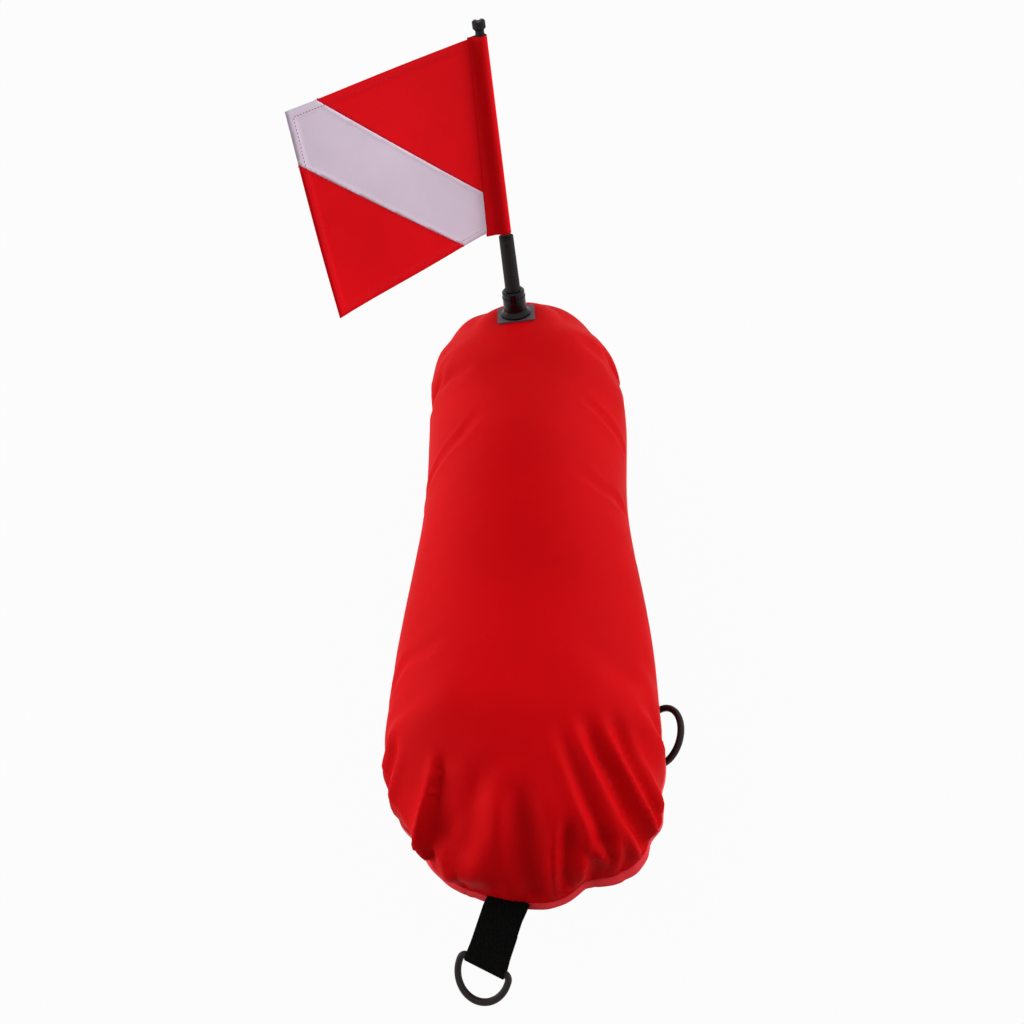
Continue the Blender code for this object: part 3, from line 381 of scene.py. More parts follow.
def fit_outline(co, weld):
    """Stretch the blown-up shape so that its weld line follows the object's outline."""
    rim = co[weld]
    spine = np.clip(co[:, 1], -SIM_SPINE, SIM_SPINE)
    rim_spine = np.clip(rim[:, 1], -SIM_SPINE, SIM_SPINE)
    # straight run
    grid = np.linspace(-SIM_SPINE, SIM_SPINE, RUN_POINTS)
    middle = np.abs(rim[:, 1]) <= SIM_SPINE + MIDDLE_PAST
    width = np.zeros(RUN_POINTS)
    for hand in (1.0, -1.0):
        side = rim[middle & (rim[:, 0] * hand > 0.0)]
        width += 0.5 * profile_of(side[:, 1], side[:, 0] * hand, grid, RUN_SMOOTH)
    new_spine = np.where(spine < 0, spine * NEAR_CENTRE / -SIM_SPINE, spine * FAR_CENTRE / SIM_SPINE)
    grow = half_width(new_spine) / np.interp(spine, grid, width)
    # the two round ends, by angle about their centres
    dx, dy = co[:, 0], co[:, 1] - spine
    angle_grid = np.linspace(0.0, math.pi, TURN_POINTS)
    for sign, depth, side_width, power in ((1.0, FAR_DEPTH, FAR_WIDTH, FAR_POWER),
                                           (-1.0, NEAR_DEPTH, NEAR_WIDTH, NEAR_POWER)):
        ends = rim[:, 1] * sign > SIM_SPINE
        rdx, rdy = rim[ends, 0], (rim[ends, 1] - rim_spine[ends]) * sign
        found = profile_of(np.arctan2(rdy, rdx), np.hypot(rdx, rdy), angle_grid, TURN_SMOOTH)
        want = (np.abs(np.cos(angle_grid) / side_width) ** power
                + np.abs(np.sin(angle_grid) / depth) ** power) ** (-1.0 / power)
        end_grow = np.interp(np.arctan2(dy * sign, dx), angle_grid, want / found)
        # near the spine's own end the direction means little, so the two rules are blended
        share = step(np.hypot(dx, dy) / END_BLEND)
        grow = np.where(dy * sign > 0.0, end_grow * share + grow * (1.0 - share), grow)
    y = new_spine + dy * grow
    # near end leans a little to the right
    x = dx * grow + POLE_SHIFT * step((NEAR_CENTRE - y) / NEAR_DEPTH)
    # heights
    core = (np.abs(co[:, 0]) < CORE_WIDTH) & (co[:, 2] > 0)
    crown = profile_of(co[core, 1], co[core, 2], grid, RUN_SMOOTH)
    tall = crown_height(new_spine) / np.interp(spine, grid, crown)
    return np.stack([x, y, co[:, 2] * tall + AXIS_HEIGHT], axis=1)


# Seats on the cloth: how near in height counts, and the flat part and the reach of each
PLANE_NEAR, SOLID_NEAR = 0.05, 0.03
MAST_SEAT, VALVE_SEAT, PATCH_SEAT = (0.027, 0.06), (0.021, 0.045), (0.033, 0.056)
SEAT_SINK = -0.0001
RAY_FROM, RAY_REACH = 0.04, 0.09
BELOW_FADE = 0.02


def about_seat(co, place, out):
    """Each point's height over a seat, and its distance from the seat's axis."""
    rel = co - np.array(place)
    height = rel @ np.array(out)
    return height, np.linalg.norm(rel - height[:, None] * np.array(out), axis=1)


def pull_to_plane(co, place, out, flat, reach):
    """Settle the cloth onto a flat seat: full inside flat, fading out by reach."""
    height, radial = about_seat(co, place, out)
    share = (1.0 - step((radial - flat) / (reach - flat))) * (np.abs(height) < PLANE_NEAR)
    return co - (height - SEAT_SINK)[:, None] * share[:, None] * np.array(out)


def pull_to_solid(co, tree, place, out, flat, reach):
    """Settle the cloth onto a CAD panel where a patch is welded on it."""
    height, radial = about_seat(co, place, out)
    for i in np.nonzero((radial < reach) & (np.abs(height) < SOLID_NEAR))[0]:
        start = Vector(co[i]) - Vector(out) * height[i] + Vector(out) * RAY_FROM
        hit = tree.ray_cast(start, -Vector(out), RAY_REACH)[0]
        if hit is None:
            continue
        below = step((AXIS_HEIGHT - WELD_CLEAR - co[i, 2]) / BELOW_FADE)
        share = float((1.0 - step((radial[i] - flat) / (reach - flat))) * below)
        co[i] = Vector(co[i]).lerp(hit, share)
    return co


def tree_of(obj):
    bm = bmesh.new()
    bm.from_mesh(obj.data)
    tree = BVHTree.FromBMesh(bm)
    bm.free()
    return tree


# Folds that the blown-up cloth doesn't make by itself, where the weld gathers it.
# Each is a valley: the panel (1 above, -1 below), its depth, its half widths left and right
# of its run, the share of its length over which it deepens, and plan places from the open
# cloth to the weld.
FOLDS = (
    (1, 0.0095, 0.014, 0.005, 0.45, ((-0.057, -0.28), (-0.063, -0.312), (-0.069, -0.338), (-0.075, -0.352))),
    (1, 0.0105, 0.017, 0.015, 0.6, ((-0.03, -0.288), (-0.033, -0.312), (-0.04, -0.334), (-0.052, -0.35))),
    (1, 0.0065, 0.011, 0.011, 0.5, ((0.004, -0.305), (0.009, -0.34), (0.014, -0.372), (0.016, -0.383))),
    (1, 0.007, 0.0075, 0.005, 0.5, ((0.049, -0.335), (0.044, -0.358), (0.04, -0.375), (0.038, -0.382))),
    (1, 0.006, 0.006, 0.006, 0.55, ((0.04, -0.262), (0.052, -0.296), (0.064, -0.328), (0.074, -0.352))),
    (1, 0.0095, 0.0085, 0.006, 0.45, ((0.058, -0.252), (0.078, -0.298), (0.097, -0.332), (0.113, -0.347))),
    (1, 0.0065, 0.007, 0.0055, 0.5, ((0.078, -0.248), (0.098, -0.286), (0.115, -0.312), (0.125, -0.326))),
    (1, 0.0055, 0.006, 0.003, 0.6, ((0.075, -0.35), (0.076, -0.362), (0.075, -0.371))),
    (1, 0.0055, 0.008, 0.007, 0.5, ((-0.098, -0.25), (-0.11, -0.275), (-0.119, -0.29), (-0.126, -0.298))),
    (1, 0.0022, 0.009, 0.006, 0.5, ((-0.03, 0.12), (-0.06, 0.084), (-0.096, 0.066), (-0.112, 0.06))),
    (1, 0.0022, 0.007, 0.006, 0.5, ((0.066, 0.142), (0.1, 0.122), (0.116, 0.118))),
    (1, 0.0018, 0.008, 0.006, 0.5, ((0.057, 0.018), (0.088, 0.008), (0.108, 0.012))),
    (1, 0.002, 0.007, 0.007, 0.5, ((-0.054, -0.168), (-0.076, -0.182), (-0.102, -0.18), (-0.12, -0.192))),
    (-1, 0.007, 0.011, 0.008, 0.5, ((-0.046, -0.315), (-0.062, -0.345), (-0.078, -0.358))),
    (-1, 0.006, 0.009, 0.009, 0.5, ((0.006, -0.33), (0.012, -0.36), (0.014, -0.382))),
    (-1, 0.007, 0.009, 0.009, 0.5, ((0.06, -0.31), (0.09, -0.336), (0.112, -0.347))),
    (-1, 0.005, 0.008, 0.008, 0.5, ((0.052, 0.34), (0.062, 0.36), (0.066, 0.37))),
    (-1, 0.005, 0.008, 0.008, 0.5, ((-0.052, 0.34), (-0.062, 0.36), (-0.066, 0.37))),
)
RIDGE_SHARE, RIDGE_AT, RIDGE_WIDTH = 0.45, 1.9, 0.8
FOLD_STEP, FOLD_MARGIN = 0.002, 3
# The gathered weld: how far it is drawn in, by degrees round the near end (-90 at the nose),
# and how the blown-up body sways to the side along its length.
LOBES = ((-180, 0.0), (-174, 0.004), (-165, 0.01), (-154, 0.009), (-144, 0.015), (-138, 0.013),
         (-130, 0.01), (-120, 0.007), (-105, 0.005), (-92, 0.002), (-84, 0.001), (-76, 0.005),
         (-67, 0.015), (-60, 0.01), (-50, 0.004), (-42, 0.003), (-36, 0.007), (-28, 0.0),
         (-21, 0.001), (-15, 0.005), (-8, 0.0), (0, -0.002))
LOBE_SMOOTH = 3
SWAY = ((-0.3, 0.0), (-0.1, 0.002), (0.05, 0.002), (0.22, 0.003), (0.3, -0.004), (0.384, -0.009))
SCALLOPS_OUT, WELD_REACH, LOW_REACH, WELD_HOLD = 0.88, 0.03, 0.065, 0.012
WELD_CLOSE_SHARE = 0.25
TUCK_IN, TUCK_FADE, TUCK_RADIUS = 0.01, 0.03, 0.02
SOFT_ROUNDS, SOFT_SHARE, SOFT_LEAST, FAR_SOFT = 20, 0.5, 0.2, 0.8
CHUNK = 4000


def round_ends(x, y):
    """Each plan place from its point on the spine, and the rule of the end it lies at."""
    spine = np.clip(y, NEAR_CENTRE, FAR_CENTRE)
    lean = POLE_SHIFT * step((NEAR_CENTRE - y) / NEAR_DEPTH)
    near = y < NEAR_CENTRE
    power = np.where(near, NEAR_POWER, FAR_POWER)
    depth = np.where(near, NEAR_DEPTH, FAR_DEPTH)
    return spine, lean, x - lean, y - spine, power, depth


def outline_share(x, y):
    """How far out each plan place lies, as a share of the way to the outline."""
    spine, _, dx, dy, power, depth = round_ends(x, y)
    return ((np.abs(dx) / half_width(spine)) ** power + (np.abs(dy) / depth) ** power) ** (1 / power)


def fold_line(side, places):
    """Close points along one fold, on the panel's smooth form."""
    plan = np.array(places)
    line = []
    for a, b in zip(plan, plan[1:]):
        count = int(np.linalg.norm(b - a) / FOLD_STEP) + 1
        line += [a + (b - a) * i / count for i in range(count)]
    line = np.array(line + [plan[-1]])
    spine = np.clip(line[:, 1], NEAR_CENTRE, FAR_CENTRE)
    rise = crown_height(spine) * np.sqrt(np.clip(1.0 - outline_share(*line.T) ** 2, 0.0, 1.0))
    return np.column_stack([line, AXIS_HEIGHT + side * rise])


def chunks(co):
    """Slices of the points, so that no table of distances gets large."""
    return [slice(start, start + CHUNK) for start in range(0, len(co), CHUNK)]


def distances(points, others):
    return np.linalg.norm(points[:, None, :] - others[None, :, :], axis=2)


def press_folds(co, normals, on_top, on_low, weld):
    """Push each fold in along the cloth's normal, with a low ridge beside it."""
    shift = np.zeros(len(co))
    for side, depth, left, right, ease, places in FOLDS:
        line = fold_line(side, places)
        margin = FOLD_MARGIN * max(left, right)
        box = np.all((co > line.min(axis=0) - margin) & (co < line.max(axis=0) + margin), axis=1)
        chosen = np.nonzero(box & (on_top if side > 0 else on_low))[0]
        away = distances(co[chosen], line)
        nearest = away.argmin(axis=1)
        way = np.gradient(line[:, :2], axis=0)[nearest]
        gone = (co[chosen] - line[nearest])[:, :2]
        on_left = way[:, 0] * gone[:, 1] - way[:, 1] * gone[:, 0] > 0.0
        gap = away.min(axis=1) / np.where(on_left, left, right)
        along = step(nearest / (len(line) - 1) / ease)
        valley = np.exp(-gap ** 2)
        ridge = RIDGE_SHARE * np.exp(-((gap - RIDGE_AT) / RIDGE_WIDTH) ** 2)
        shift[chosen] += depth * along * (ridge - valley)
    for some in chunks(co):
        shift[some] *= step(distances(co[some], co[weld]).min(axis=1) / WELD_HOLD)
    return co + normals * shift[:, None]


def gathers(turn):
    """How far the weld is drawn in, by degrees round the near end."""
    turns, pulls = np.array(LOBES).T
    fine = np.arange(-180.0, 1.0)
    return np.interp(turn, fine, profile_of(turns, pulls, fine, LOBE_SMOOTH))


def tuck_lower(co, on_low):
    """The near end's lower panel is drawn in below its gathered weld."""
    spine, lean, dx, dy, *_ = round_ends(co[:, 0], co[:, 1])
    fall = AXIS_HEIGHT - co[:, 2]
    share = (np.exp(-(fall / LOW_REACH) ** 2) - np.exp(-(fall / WELD_REACH) ** 2)) * (fall > 0.0)
    share *= on_low * step((NEAR_CENTRE - co[:, 1]) / TUCK_FADE)
    inward = (TUCK_IN + gathers(np.degrees(np.arctan2(dy, dx)))) * share
    grow = 1.0 - inward / np.maximum(np.hypot(dx, dy), TUCK_RADIUS)
    return np.column_stack([lean + dx * grow, spine + dy * grow, co[:, 2]])


def on_outline(plan):
    """Each plan point moved straight out or in to the weld's smooth line, notched at the folds."""
    spine, lean, dx, dy, *_ = round_ends(*plan.T)
    turn = np.degrees(np.arctan2(dy, dx))
    notch = np.where(plan[:, 1] < NEAR_CENTRE, gathers(turn), 0.0)
    grow = 1.0 / outline_share(*plan.T) - notch / np.hypot(dx, dy)
    return np.column_stack([lean + dx * grow, spine + dy * grow])


def ease_weld(co, weld):
    """Take most of the small scallops out of the weld line, and the cloth beside it along."""
    move = np.zeros((len(weld), 3))
    move[:, :2] = (on_outline(co[weld, :2]) - co[weld, :2]) * SCALLOPS_OUT
    move[:, 2] = (AXIS_HEIGHT - co[weld, 2]) * SCALLOPS_OUT
    moved = np.zeros_like(co)
    for some in chunks(co):
        away = distances(co[some], co[weld])
        close = np.exp(-(away / (WELD_CLOSE_SHARE * WELD_REACH)) ** 2) + 1e-12
        fade = np.exp(-(away.min(axis=1) / WELD_REACH) ** 2)
        moved[some] = (close @ move) / close.sum(axis=1)[:, None] * fade[:, None]
    moved[weld] = move
    return co + moved


def soften(co, edges, share, rounds):
    """Even out small wrinkles, by share of full strength at each point."""
    ends = np.concatenate([edges, edges[:, ::-1]])
    links = np.bincount(ends[:, 0], minlength=len(co))[:, None]
    for _ in range(rounds):
        total = np.stack([np.bincount(ends[:, 0], co[ends[:, 1], k], len(co)) for k in range(3)], axis=1)
        co = co + (total / links - co) * share[:, None]
    return co


NEAR_SOFT_FROM, FAR_SOFT_FROM, SOFT_FADE = -0.14, 0.2, 0.06
RIGHT_SOFT_FROM, RIGHT_SOFT_FADE = 0.02, 0.03
FLOOR_EASE, FLOOR_DEEP = 0.006, -0.03
places, faces, top_flags = flat_panels()
mesh = bpy.data.meshes.new("float_body")
mesh.from_pydata(places, [], faces)
for polygon, top in zip(mesh.polygons, top_flags):
    polygon.material_index = 0 if top else 1
body = link("float_body", mesh, (body_cloth, patch_cloth))
inflate(body)
rounding = body.modifiers.new("round", "SUBSURF")
rounding.levels = rounding.render_levels = 1
apply_modifiers(body)
mesh = body.data
co = read(mesh.vertices, "co", 3)
touches = np.zeros((len(co), 2), bool)
for polygon in mesh.polygons:
    touches[list(polygon.vertices), polygon.material_index] = True
weld = np.nonzero(touches[:, 0] & touches[:, 1])[0]
co = fit_outline(co, weld)
edges = read(mesh.edges, "vertices", 2, int)
# the near end is softened, half as much at its right, and so is the far end
near_share = step((NEAR_SOFT_FROM - co[:, 1]) / SOFT_FADE)
near_share *= 1.0 - 0.5 * step((co[:, 0] - RIGHT_SOFT_FROM) / RIGHT_SOFT_FADE)
far_share = FAR_SOFT * step((co[:, 1] - FAR_SOFT_FROM) / SOFT_FADE)
at_end = SOFT_SHARE * (SOFT_LEAST + (1.0 - SOFT_LEAST) * np.maximum(near_share, far_share))
at_end[weld] = 0.0
co = ease_weld(soften(co, edges, at_end, SOFT_ROUNDS), weld)
co = tuck_lower(co, touches[:, 1])
co[:, 0] += np.interp(co[:, 1], *np.array(SWAY).T)
co = pull_to_plane(co, SEAT, MAST, *MAST_SEAT)
co = pull_to_plane(co, VALVE, VALVE_OUT, *VALVE_SEAT)
lower_tree = tree_of(cad["lower_panel"])
for label, place in SIDE_PLACES.items():
    out = (math.copysign(SIDE_OUT[0], place.x), 0.0, SIDE_OUT[1])
    co = pull_to_solid(co, lower_tree, place, out, *PATCH_SEAT)
# it flattens on what it rests on, without a crease
low = co[:, 2]
flat = FLOOR_EASE * np.exp((low - FLOOR_EASE) / FLOOR_EASE) * (low > FLOOR_DEEP)
co[:, 2] = np.where(low < FLOOR_EASE, flat, low)
mesh.vertices.foreach_set("co", co.ravel())
mesh.update()
co = press_folds(co, read(mesh.vertices, "normal", 3), touches[:, 0], touches[:, 1], weld)
co[:, 2] = np.maximum(co[:, 2], 0.0)
mesh.vertices.foreach_set("co", co.ravel())
mesh.update()


# The two panels, each with its weld flange turned down all round
FLANGE = 0.0074
FLANGE_ROWS = 4
SIDE_BEND, FAR_BEND = radians(86.0), radians(75.0)
LEFT_BEND, RIGHT_BEND, LEFT_SHOWS = radians(50.0), radians(42.0), 0.72
END_FROM, END_FADE = 0.5, 0.35
RIGHT_FROM, RIGHT_FADE = 0.03, 0.04
SKIN_THICK, SKIN_LIFT = 0.0006, 0.0004


def rim_ways(plan):
    """The way out from the weld line at each rim point, how far down the flange turns, its width."""
    spine, _, dx, dy, power, depth = round_ends(*plan.T[:2])
    near = plan[:, 1] < 0.0
    width = half_width(spine)
    out_x = np.sign(dx) * (np.abs(dx) / width) ** (power - 1) / width
    out_y = np.sign(dy) * (np.abs(dy) / depth) ** (power - 1) / depth
    out = np.stack([out_x, out_y], axis=1)
    out /= np.linalg.norm(out, axis=1)[:, None]
    end = step((np.abs(out[:, 1]) - END_FROM) / END_FADE)
    to_right = step((dx - RIGHT_FROM) / RIGHT_FADE)
    near_bend = LEFT_BEND + (RIGHT_BEND - LEFT_BEND) * to_right
    bend = SIDE_BEND + (np.where(near, near_bend, FAR_BEND) - SIDE_BEND) * end
    width = FLANGE * np.where(near, 1.0 - (1.0 - LEFT_SHOWS) * (1.0 - to_right) * end, 1.0)
    return out, bend, width


def skin_of(name, node, index, hand):
    """One panel cut from the body, with its weld flange drawn out round the rim."""
    bm = bmesh.new()
    bm.from_mesh(mesh)
    bmesh.ops.delete(bm, geom=[f for f in bm.faces if f.material_index != index], context="FACES")
    for f in bm.faces:
        f.material_index = 0
    rim_edges = [e for e in bm.edges if e.is_boundary]
    ways = [rim_edges[0].verts[0]]
    loop, seen = [], set()
    while ways:
        loop.append(ways[0])
        seen.add(ways[0])
        ways = [e.other_vert(loop[-1]) for e in loop[-1].link_edges if e.is_boundary]
        ways = [v for v in ways if v not in seen]
    plan = np.array([v.co[:] for v in loop])
    out, bend, wide = rim_ways(plan)
    run = np.column_stack([out * np.cos(bend)[:, None], -np.sin(bend)])
    face = np.column_stack([out * np.sin(bend)[:, None], np.cos(bend)])
    rows = [loop]
    for k in range(1, FLANGE_ROWS + 1):
        row = plan + run * (wide * k / FLANGE_ROWS)[:, None] + face * hand * SKIN_LIFT
        rows.append([bm.verts.new(point) for point in row])
    # the flange faces take the cloth with painted light, lighter than the panel's own red
    for made in bridge(bm, rows, closed=True):
        made.material_index = 1
    bmesh.ops.recalc_face_normals(bm, faces=bm.faces)
    obj = from_bmesh(name, bm, (body_cloth, lit_weld_cloth))
    top = max(obj.data.polygons, key=lambda p: p.center.z * hand)
    if top.normal.z * hand < 0:
        obj.data.flip_normals()
    thicken(obj, SKIN_THICK, -1.0)
    stands_for(obj, "body_cloth", "float_body", node)
    return obj


skin_of("upper_cloth", "upper_panel", 0, 1)
lower = skin_of("lower_cloth", "lower_panel", 1, -1)
bpy.data.objects.remove(body)


# Webbing, patches and rings
NOSE_WIDTH, SIDE_WIDTH, WEB, EDGE_SHARE, LAY = 0.036, 0.047, 0.0014, 0.3, 0.0003
NOSE_BAR, NOSE_STOCK, NOSE_HALF, NOSE_LEG = 0.042, 0.0029, 0.0223, 0.006
SIDE_STOCK, SIDE_HALF, SIDE_LEG, RING_CORNER = 0.0033, 0.0277, 0.01, 0.0045
RIGHT_NEAR_SWING, HANGING_SWING = radians(75.0), radians(-52.0)
CORNER_STEPS, BOW_STEPS, WRAP_STEPS, STRAP_COLUMNS = 6, 32, 20, 8
WRAP, SHARP, DROOP = radians(115.0), radians(50.0), radians(27.0)
DROOP_FROM, DROOP_RUN = 0.004, 0.008
ROOT_LENGTH, HINGE_FLAT, FOLD_BACK, TAIL_FROM = 0.0155, 0.002, 0.011, 0.012
NOSE_PATH_STEP, SIDE_PATH_STEP = 0.0018, 0.0016
PATCH_RADIUS, PATCH_RINGS, PATCH_STEPS, PATCH_THICK = 0.032, 8, 48, 0.0008
FOOT_GAP, FOOT_RUN, FOOT_STEPS, FOOT_LIFT = 0.0025, 0.015, 8, 0.0016


def strap_piece(name, path, width, matrix):
    """Woven strap along a path in X and Z: rounded edges, close rows for a soft bend."""
    bm = bmesh.new()
    sides = [width * (k / STRAP_COLUMNS - 0.5) for k in range(STRAP_COLUMNS + 1)]
    bridge(bm, [[bm.verts.new((x, y, z)) for y in sides] for x, z in path])
    obj = from_bmesh(name, bm, (webbing,))
    obj.data.transform(matrix)
    thicken(obj, WEB, 0.0)
    edge = obj.modifiers.new("edge", "BEVEL")
    edge.width = WEB * EDGE_SHARE
    edge.segments = 2
    edge.limit_method = "ANGLE"
    edge.angle_limit = SHARP
    return obj


def eased(points):
    """A path with its corners eased, its ends kept."""
    for _ in range(2):
        inner = [tuple((p + 2 * q + r) / 4 for p, q, r in zip(*three))
                 for three in zip(points, points[1:], points[2:])]
        points = [points[0]] + inner + [points[-1]]
    return points


def smooth_path(points, gap):
    """Even steps along a polyline, with its corners eased."""
    dense = []
    for a, b in zip(points, points[1:]):
        n = max(int(math.dist(a, b) / gap), 1)
        dense += [tuple(u + (v - u) * i / n for u, v in zip(a, b)) for i in range(n)]
    dense.append(points[-1])
    return eased(dense)


def bar_loop(stock, along, height, middle):
    """The webbing's way round a ring's bar, open on the side away from middle."""
    reach = stock + LAY + 0.5 * WEB
    turns = [middle + WRAP - 2 * WRAP * i / WRAP_STEPS for i in range(WRAP_STEPS + 1)]
    return [(along + reach * math.cos(t), height + reach * math.sin(t)) for t in turns]


def ring_piece(name, node, half, leg, stock, matrix):
    """A D-ring: a bar with rounded corners, two legs and a half round bow, on its own body."""
    points = []
    for i in range(CORNER_STEPS + 1):
        t = math.pi / 2 * i / CORNER_STEPS
        points.append((RING_CORNER * (1.0 - math.cos(t)), half - RING_CORNER * (1.0 - math.sin(t))))
    outline = [(x, -y) for x, y in reversed(points)] + points
    for i in range(BOW_STEPS + 1):
        t = math.pi * i / BOW_STEPS
        outline.append((leg + half * math.sin(t), half * math.cos(t)))
    curve = bpy.data.curves.new(name, "CURVE")
    curve.dimensions = "3D"
    curve.bevel_depth = stock
    curve.bevel_resolution = 6
    spline = curve.splines.new("POLY")
    spline.points.add(len(outline) - 1)
    for slot, (x, y) in zip(spline.points, outline):
        slot.co = (x, y, 0.0, 1.0)
    spline.use_cyclic_u = True
    obj = add_object(name, curve)
    obj.matrix_world = matrix
    curve.materials.append(ring_black)
    bpy.context.view_layer.update()
    made = evaluated_mesh(obj)
    made.transform(matrix)
    bpy.data.objects.remove(obj)
    stands_for(link(name, made), "ring_black", node, node)


layer = WEB + LAY
back_at = NOSE_BAR - FOLD_BACK
top_run = [(-ROOT_LENGTH, 0.0), (-HINGE_FLAT, 0.0), (HINGE_FLAT, 0.0), (back_at, 0.0)]
loop = bar_loop(NOSE_STOCK, NOSE_BAR, -0.5 * layer, 0.0)
path = smooth_path(top_run + loop + [(back_at, -layer), (TAIL_FROM, -layer)], NOSE_PATH_STEP)
# the root lies flat on the flange and the rest droops from the bend
bent = []
for x, z in path:
    turn = DROOP * float(step((DROOP_FROM - x) / DROOP_RUN))
    bent.append((x * math.cos(turn) - z * math.sin(turn), x * math.sin(turn) + z * math.cos(turn)))
nose_strap = strap_piece("tow_strap", bent, NOSE_WIDTH, frame_matrix(HINGE, STRAP_OUT, STRAP_UP))
apply_modifiers(nose_strap)
nose_strap.data.shade_smooth()
nose_strap.data.set_sharp_from_angle(angle=SHARP)
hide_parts("nose_strap_root", "nose_strap")
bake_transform(nose_strap)

ring_place = frame_matrix(HINGE + STRAP_OUT * NOSE_BAR - STRAP_UP * 0.5 * layer, STRAP_OUT, STRAP_UP)
ring_piece("tow_ring", "nose_ring", NOSE_HALF, NOSE_LEG, NOSE_STOCK, ring_place)

lower_cloth_tree = tree_of(lower)
CLOTH_RAY = 0.03


def on_cloth(matrix, out, x, y):
    """Where the cloth lies under a place on a seat, or None."""
    return lower_cloth_tree.ray_cast(matrix @ Vector((x, y, CLOTH_RAY)), -out, 2.0 * CLOTH_RAY)[0]


def side_patch(label, matrix, out):
    """A round patch as rings of points laid on the cloth."""
    bm = bmesh.new()
    centre = bm.verts.new((0, 0, 0))
    rings = []
    for r in range(1, PATCH_RINGS + 1):
        radius = PATCH_RADIUS * r / PATCH_RINGS
        turns = [WHOLE * i / PATCH_STEPS for i in range(PATCH_STEPS)]
        rings.append([bm.verts.new((radius * math.cos(t), radius * math.sin(t), 0.0)) for t in turns])
    for here, after in zip(rings[0], rings[0][1:] + rings[0][:1]):
        bm.faces.new((centre, here, after))
    bridge(bm, rings, closed=True)
    for v in bm.verts:
        hit = on_cloth(matrix, out, v.co.x, v.co.y)
        v.co = hit + out * LAY if hit is not None else matrix @ v.co
    bmesh.ops.recalc_face_normals(bm, faces=bm.faces)
    patch = from_bmesh(label + "_patch_cloth", bm, (patch_cloth,))
    if patch.data.polygons[0].normal.dot(out) < 0:
        patch.data.flip_normals()
    thicken(patch, PATCH_THICK, 1.0)
    stands_for(patch, "body_cloth", "float_body", label + "_patch")


def side_tab(label, place, matrix, out, bar):
    """A webbing tab over the ring's bar, its feet on the patch."""
    loop = bar_loop(SIDE_STOCK, 0.0, bar, math.pi / 2)[::-1]
    feet = []
    for sign in (1.0, -1.0):
        run = []
        for i in range(FOOT_STEPS + 1):
            x = sign * (loop[0][0] + FOOT_GAP + FOOT_RUN * i / FOOT_STEPS)
            hit = on_cloth(matrix, out, x, 0.0)
            base = (hit - place).dot(out) if hit is not None else 0.0
            run.append((x, base + FOOT_LIFT + 0.5 * WEB))
        feet.append(run)
    tab_path = smooth_path(feet[0][::-1] + loop + feet[1], SIDE_PATH_STEP)
    tab = strap_piece(label + "_tab_web", tab_path, SIDE_WIDTH, matrix)
    stands_for(tab, "webbing_black", "float_body", label + "_tab")


for label, place in SIDE_PLACES.items():
    hand = math.copysign(1.0, place.x)
    out = Vector((hand * SIDE_OUT[0], 0.0, SIDE_OUT[1]))
    matrix = frame_matrix(place, Vector((-hand * SIDE_OUT[1], 0.0, SIDE_OUT[0])), out)
    side_patch(label, matrix, out)
    across, height = SIDE_BARS[label.split("_")[1]]
    bar_at = Vector((hand * across, place.y, height))
    side_tab(label, place, matrix, out, (bar_at - place).dot(out))
    swing = RIGHT_NEAR_SWING if label == "right_near" else HANGING_SWING
    turned = Matrix.Rotation(-hand * swing, 3, "Y") @ out
    ring_piece(label + "_d_ring", label + "_ring", SIDE_HALF, SIDE_LEG, SIDE_STOCK,
               frame_matrix(bar_at, turned, turned.cross(Vector((0, 1, 0)))))


# Flag: three sewn fields, hemmed, and the sleeve
seat_matrix = frame_matrix(SEAT, Vector((1, 0, 0)), MAST)
flag_matrix = seat_matrix @ Matrix.Translation((0, 0, FLAG_LOW)) @ Matrix.Rotation(FLAG_TURN, 4, "Z")
TUCK, HEM, SEAM, UNDER = 0.0095, 0.0075, 0.003, 0.0015
SEAM_SOFT, SEAM_NEAR = 0.0006, 0.0002
TAB_TURN, TAB_LOW, TAB_HIGH, TAB_SOFT = radians(30.0), 0.02, 0.012, 0.3
TAB_SPARE_LOW, TAB_SPARE_HIGH = 0.0045, 0.0015
WAVE, WAVE_ALONG, WAVE_UP, FLY_CURL = 0.0022, 0.9, 0.5, 0.003
FIELD_COLUMNS, FIELD_ROWS, FIELD_MERGE = 54, 50, 2e-4
FLAG_THICK, ONE_LAYER, SEAM_LAYERS, UNDER_SHARE = 0.0013, 0.42, 0.75, 0.6
SEWN_FROM, SEWN_FADE = 0.002, 0.006
TOP_OUT_SHARE, TOP_IN_SHARE, LOW_OUT_SHARE, LOW_IN_SHARE = 0.855, 0.158, 0.769, 0.231


def tab_end(up):
    """How far out the sleeve's sewn edge lies: it narrows towards the top."""
    return TAB_LOW + (TAB_HIGH - TAB_LOW) * up / FLAG_HOIST


def ripple(out, up):
    """How far the flag stands off its own plane: it leaves the mast at an angle, then hangs."""
    end = tab_end(up)
    reach = max(out - end, 0.0) / (FLAG_FLY - end)
    height = up / FLAG_HOIST
    rise, fall = out / end, (FLAG_FLY - out) / (FLAG_FLY - end)
    leave = -math.tan(TAB_TURN) * end * 0.5 * (rise + fall - math.hypot(rise - fall, TAB_SOFT))
    wave = WAVE * reach * math.sin(WHOLE * (WAVE_ALONG * reach - WAVE_UP * height))
    return leave + wave + FLY_CURL * (reach * (1.0 - height)) ** 2


def flag_place(out, up, off=0.0):
    """A point of the flag's cloth: drawn in at the sleeve, drooping at the fly."""
    reach = (out - TUCK) / (FLAG_FLY - TUCK)
    share = up / FLAG_HOIST
    drawn = (1.0 - reach) * (TAB_SPARE_LOW * (1.0 - share) - TAB_SPARE_HIGH * share)
    return Vector((out, ripple(out, up) + off, up + drawn - FLAG_DROOP * reach))


